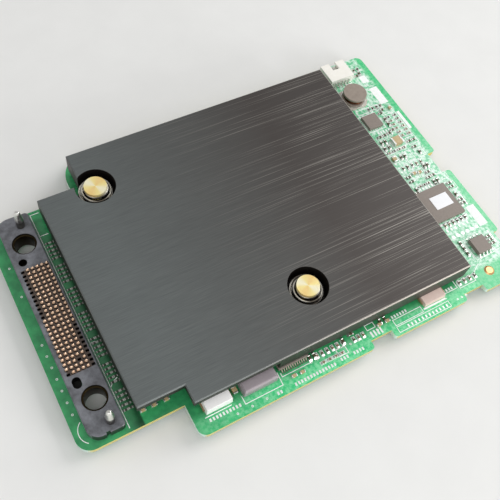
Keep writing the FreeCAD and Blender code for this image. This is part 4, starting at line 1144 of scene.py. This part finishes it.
class CARD_OT_print(bpy.types.Operator):
    """Print the white outlines and fields on the board."""

    bl_idname = "card.print"
    bl_label = "White print"

    LINE = 0.2
    CHIP_LINE = 0.14
    # Closed outlines along the right edge and the front: right, front, width, depth.
    OUTLINES = (
        (6.3, 67.8, 8.4, 2.0), (6.6, 51.9, 4.9, 3.4), (12.6, 47.3, 2.7, 3.0), (7.4, 46.3, 3.1, 3.8),
        (3.2, 46.2, 3.0, 3.5), (10.1, 43.5, 2.3, 2.6), (6.8, 43.7, 2.9, 2.4), (10.6, 39.8, 2.3, 2.8),
        (7.8, 39.6, 2.5, 3.2), (5.3, 40.1, 2.2, 3.2), (12.3, 51.2, 2.8, 2.6), (2.4, 51.5, 3.7, 2.8),
        (2.0, 36.2, 3.3, 2.5), (1.7, 31.7, 2.8, 3.0), (2.5, 55.0, 4.6, 10.0), (28.4, 0.6, 17.8, 1.9),
        (36.6, 2.7, 9.5, 1.9), (17.0, 3.9, 5.9, 2.1), (23.4, 4.4, 4.5, 3.2), (51.2, 5.0, 2.8, 1.7),
        (3.0, 9.2, 2.4, 5.2), (61.6, 2.2, 3.0, 2.2), (8.8, 80.6, 2.2, 2.4),
    )
    # Solid fields: right, front, width, depth.
    FIELDS = (
        (1.4, 17.7, 3.0, 7.3), (2.1, 69.1, 2.9, 7.2), (5.3, 22.6, 10.2, 0.6), (5.6, 34.9, 9.6, 0.5),
        (50.1, 2.8, 0.5, 1.7), (51.1, 2.8, 0.5, 1.7), (52.1, 2.8, 0.5, 1.7), (53.1, 2.8, 0.5, 1.7),
        (1.2, 57.0, 1.0, 7.5), (3.0, 79.0, 2.4, 3.0), (28.6, 3.3, 7.6, 0.3),
    )

    def execute(self, context):
        # Screen-printed epoxy ink: matt, a little uneven in the white.
        ink = new_material("white_screen_ink", context.scene.card_colours.ink, "d3e2d6", 0.8,
                           {"Roughness": 0.6}, (0.2, 0.004), (0.3, 0.7), 0.4)
        level = where("board")[1].z
        height = PRINT_BASE + context.scene.card_sizes.print_height / MM
        bm = bmesh.new()
        for right, front, width, depth in self.OUTLINES:
            x, y = spot(right, front)
            add_frame(bm, (x - width, y), (x, y + depth), self.LINE, level, height)
        for right, front, width, depth in self.FIELDS:
            x, y = spot(right, front)
            add_box(bm, (x - width, y, level), (x, y + depth, level + height))
        for points in self.lines():
            add_ribbon(bm, points, self.LINE, level, height)
        for node, gap in (("soic_body", 1.0), ("power_chip", 0.8)):
            low, high = where(node)
            add_frame(bm, (low.x - gap, low.y - gap), (high.x + gap, high.y + gap), self.LINE, level, height)
        piece("white_print", bm, ink, smoothed=False)

        # Each small chip outside the columns has its own outline.
        outline = bmesh.new()
        add_frame(outline, (-0.9, -0.5), (0.9, 0.5), self.CHIP_LINE, 0.0, height)
        places, turns = small_chip_places()
        first = len(column_places())
        repeated("chip_outlines", outline, places[first:], ink, turns=turns[first:])
        return {"FINISHED"}

    def lines(self):
        """The open lines: round the connector, the inductor, the fine chip and the left block."""
        low, high = where("connector_housing")
        x = high.x + 0.5
        inner = where("heatsink_plate")[0].x - 0.2
        runs = [
            [(x, low.y - 0.4), (x, high.y + 0.3), (inner, high.y + 0.3)],
            [(x, high.y - 7.0), (inner, high.y - 7.0)],
            [(x, low.y + 23.4), (x + 1.3, low.y + 23.4)],
            [(x, low.y + 10.6), (x + 1.0, low.y + 11.8), (inner, low.y + 12.4)],
        ]
        corner = Vector((low.x + 1.6, low.y + 3.4))
        bend = [math.radians(turn) for turn in range(125, 241, 12)]
        runs.append([(corner.x + 3.4 * math.cos(turn), corner.y + 3.4 * math.sin(turn)) for turn in bend])
        low, high = where("power_inductor")
        runs.append([(low.x - 0.4, low.y + 0.6), (low.x - 0.4, low.y - 1.6), (high.x + 0.7, low.y - 1.6),
                     (high.x + 0.9, low.y + 1.9)])
        low, high = where("fine_chip_body")
        runs.append([(low.x + 0.2, low.y - 0.6), (low.x + 0.2, low.y - 1.6), (high.x - 0.2, low.y - 1.6),
                     (high.x - 0.2, low.y - 0.7)])
        low, high = where("block_capacitor_left")
        runs.append([(low.x - 0.6, low.y - 0.5), (high.x - 0.6, low.y - 0.5)])
        low, high = where("block_capacitor_right")
        runs.append([(low.x - 0.4, low.y - 0.5), (high.x + 0.2, low.y - 0.5)])
        low, high = where("heatsink_plate")
        runs.append([(high.x + 0.6, low.y - 0.3), (high.x + 4.2, low.y - 0.3), (high.x + 7.6, low.y + 1.6)])
        return runs


class CARD_OT_pads(bpy.types.Operator):
    """Lay the bare pads, the plated holes and the gold grounding pad."""

    bl_idname = "card.pads"
    bl_label = "Pads and plated holes"

    # Half length, half width and height of a bare pad and of a pad at the power chip's sides.
    PAD = (0.25, 0.42, 0.045)
    SIDE_PAD = (0.14, 0.25, 0.06)
    SIDE_PAD_PITCH, SIDE_PAD_REACH = 0.75, 0.15
    HOLE_RADII, HOLE_RISE = (0.14, 0.31), 0.035
    TEST_PAD_RADIUS, TEST_PAD_RISE, TEST_PAD_PITCH = 0.6, 0.04, 1.75
    # Rows of bare pads: right, front, step along X, step along Y, count.
    PADS = (
        (42.8, 1.4, 1.2, 0.0, 12), (101.6, 2.9, 0.9, 0.0, 10), (78.4, 1.2, 0.9, 0.0, 14),
        (60.4, 1.5, 0.9, 0.0, 4), (64.4, 1.5, 0.9, 0.0, 3), (45.6, 5.3, 0.9, 0.0, 6),
        (83.6, 1.2, 0.9, 0.0, 2), (14.4, 36.0, 1.1, 0.0, 8), (14.6, 20.6, 1.5, 0.0, 6),
        (4.6, 26.0, 0.0, 1.1, 4), (3.0, 26.0, 0.0, 1.1, 4), (13.6, 66.0, 1.1, 0.0, 6),
        (5.9, 10.0, 0.0, 1.1, 4), (27.8, 5.2, 0.9, 0.0, 4), (15.0, 52.0, 0.0, 1.2, 3),
        (3.4, 12.0, 0.0, 1.1, 4), (12.7, 57.6, 1.0, 0.0, 5), (12.7, 59.4, 1.0, 0.0, 5),
    )
    # Rows of plated holes: right, front, step along X, step along Y, count.
    HOLES = (
        (129.9, 38.4, 0.0, -3.25, 7), (129.7, 62.0, 0.0, -9.0, 2), (60.0, 4.0, 2.2, 0.0, 5),
        (12.0, 33.4, 1.9, 0.0, 4), (4.2, 64.6, 0.0, -1.7, 4), (14.7, 42.0, 0.0, 1.7, 4),
        (25.6, 1.6, 1.5, 0.0, 3), (95.0, 1.3, 4.1, 0.0, 4), (3.6, 33.0, -0.9, 1.8, 2),
        (10.0, 77.6, 1.6, 0.0, 4), (72.0, 4.4, 1.9, 0.0, 4), (13.0, 49.6, 1.8, 0.0, 4),
    )

    def execute(self, context):
        # Hot-air levelled solder on bare copper: pale, soft sheen.
        solder = new_material("levelled_solder", "e6ece6", "ffffff", 0.4,
                              {"Metallic": 0.3, "Roughness": 0.35}, (0.2, 0.006))
        # Gold over nickel on copper: warm, thin and slightly dull.
        gold = turned_metal("immersion_gold", "dca268", "f7d29a", [middle("ground_pad")], 0.4, 0.004, 0.32)
        dress(gold, "ground_pad")
        level = where("board")[1].z
        repeated("bare_pads", slab(self.PAD, 0.015), self.rows(self.PADS, level), solder)
        ring, disc = bmesh.new(), bmesh.new()
        add_spun(ring, 0.0, 0.0, tube(self.HOLE_RADII, 0.0, self.HOLE_RISE), 12, hollow=True)
        repeated("plated_holes", ring, self.rows(self.HOLES, level), solder)

        # Six round test pads in a row beside the eight-leg chip.
        add_spun(disc, 0.0, 0.0, tube((0.0, self.TEST_PAD_RADIUS), 0.0, self.TEST_PAD_RISE), 20)
        low, high = where("soic_body")
        places = [(low.x - 2.6 + index * self.TEST_PAD_PITCH, high.y + 3.0, level) for index in range(6)]
        repeated("test_pads", disc, places, solder)

        # Pads that stick out round the power chip.
        low, high = where("power_chip")
        x, y = middle("power_chip")
        out = self.SIDE_PAD_REACH
        places, turns = [], []
        for index in range(6):
            step = (index - 2.5) * self.SIDE_PAD_PITCH
            places += [(x + step, low.y - out, level), (x + step, high.y + out, level),
                       (low.x - out, y + step, level), (high.x + out, y + step, level)]
            turns += [0.0, 0.0, math.pi / 2, math.pi / 2]
        repeated("power_chip_pads", slab(self.SIDE_PAD, 0.02), places, solder, turns=turns)
        return {"FINISHED"}

    def rows(self, table, level):
        """Places in rows, each from a first place by equal steps."""
        places = []
        for right, front, step_x, step_y, count in table:
            x, y = spot(right, front)
            places += [(x + index * step_x, y + index * step_y, level) for index in range(count)]
        return places


class CARD_OT_stage(bpy.types.Operator):
    """Set up the floor, the studio light and the camera."""

    bl_idname = "card.stage"
    bl_label = "Stage"

    FLOOR_REACH = 3.0             # metres from the card to the floor's edges
    SKY = 0.45                    # strength of the even white light from all round
    # Square softboxes: name, place in metres, width, power in watts.
    SOFTBOXES = (
        ("key", (0.72, 0.06, 0.5), 0.6, 4.0), ("fill", (-0.3, -0.35, 0.6), 0.6, 1.8),
        ("front_strip", (0.35, -0.75, 0.24), 0.3, 2.8),
    )
    CAMERA_PLACE = (-66.89, -78.91, 167.36)
    CAMERA_TURNS = ((-40.278, "Z"), (30.688, "X"), (12.875, "Z"))     # heading, tilt and roll in degrees
    LENS = 49.654
    SENSOR = 36.0

    def execute(self, context):
        scene = context.scene
        floor = bpy.data.meshes.new("floor")
        bm = bmesh.new()
        bmesh.ops.create_grid(bm, x_segments=1, y_segments=1, size=self.FLOOR_REACH)
        bm.to_mesh(floor)
        bm.free()
        ground = bpy.data.objects.new("floor", floor)
        scene.collection.objects.link(ground)
        # Matt seamless paper, pale grey.
        floor.materials.append(moulded("seamless_paper", "e4e4e2", "ebebe9", 2.0, 0.01, 0.8))

        world = bpy.data.worlds.new("studio")
        world.use_nodes = True
        scene.world = world
        background = world.node_tree.nodes["Background"]
        background.inputs["Color"].default_value = (1.0, 1.0, 1.0, 1.0)
        background.inputs["Strength"].default_value = self.SKY
        for name, place, width, power in self.SOFTBOXES:
            light = bpy.data.lights.new(name, "AREA")
            light.size = width
            light.energy = power
            softbox = bpy.data.objects.new(name, light)
            softbox.location = place
            softbox.rotation_euler = (-Vector(place)).to_track_quat("-Z", "Y").to_euler()
            scene.collection.objects.link(softbox)

        camera = bpy.data.objects.new("camera", bpy.data.cameras.new("camera"))
        scene.collection.objects.link(camera)
        camera.data.sensor_width = self.SENSOR
        camera.data.lens = self.LENS
        camera.location = Vector(self.CAMERA_PLACE) * MM
        heading, tilt, roll = [
            Matrix.Rotation(math.radians(turn), 4, axis) for turn, axis in self.CAMERA_TURNS]
        camera.rotation_euler = (heading @ tilt @ roll).to_euler()
        camera.data.clip_start = 0.01
        camera.data.clip_end = 20.0
        scene.camera = camera
        scene.view_settings.view_transform = "Standard"
        return {"FINISHED"}


OPERATORS = (
    CARD_OT_board, CARD_OT_plate, CARD_OT_push_pins, CARD_OT_connector, CARD_OT_small_chips, CARD_OT_chips,
    CARD_OT_coils, CARD_OT_battery_connector, CARD_OT_print, CARD_OT_pads, CARD_OT_stage,
)


class CARD_PT_panel(bpy.types.Panel):
    """Lists the card's pieces."""

    bl_idname = "CARD_PT_panel"
    bl_label = "Raid controller card"
    bl_space_type = "VIEW_3D"
    bl_region_type = "UI"
    bl_category = "Card"

    def draw(self, context):
        for group in (context.scene.card_sizes, context.scene.card_colours):
            for name in group.bl_rna.properties.keys():
                if name not in ("rna_type", "name"):
                    self.layout.prop(group, name)
        for operator in OPERATORS:
            self.layout.operator(operator.bl_idname)


CLASSES = (CardSizes, CardColours, *OPERATORS, CARD_PT_panel)


def register():
    """Make the card's properties, operators and panel known."""
    for item in CLASSES:
        bpy.utils.register_class(item)
    bpy.types.Scene.card_sizes = bpy.props.PointerProperty(type=CardSizes)
    bpy.types.Scene.card_colours = bpy.props.PointerProperty(type=CardColours)


def unregister():
    """Take them away again."""
    del bpy.types.Scene.card_colours
    del bpy.types.Scene.card_sizes
    for item in reversed(CLASSES):
        bpy.utils.unregister_class(item)


def main():
    """Build every piece in order."""
    register()
    for operator in OPERATORS:
        group, name = operator.bl_idname.split(".")
        getattr(getattr(bpy.ops, group), name)()


if __name__ == "__main__":
    main()
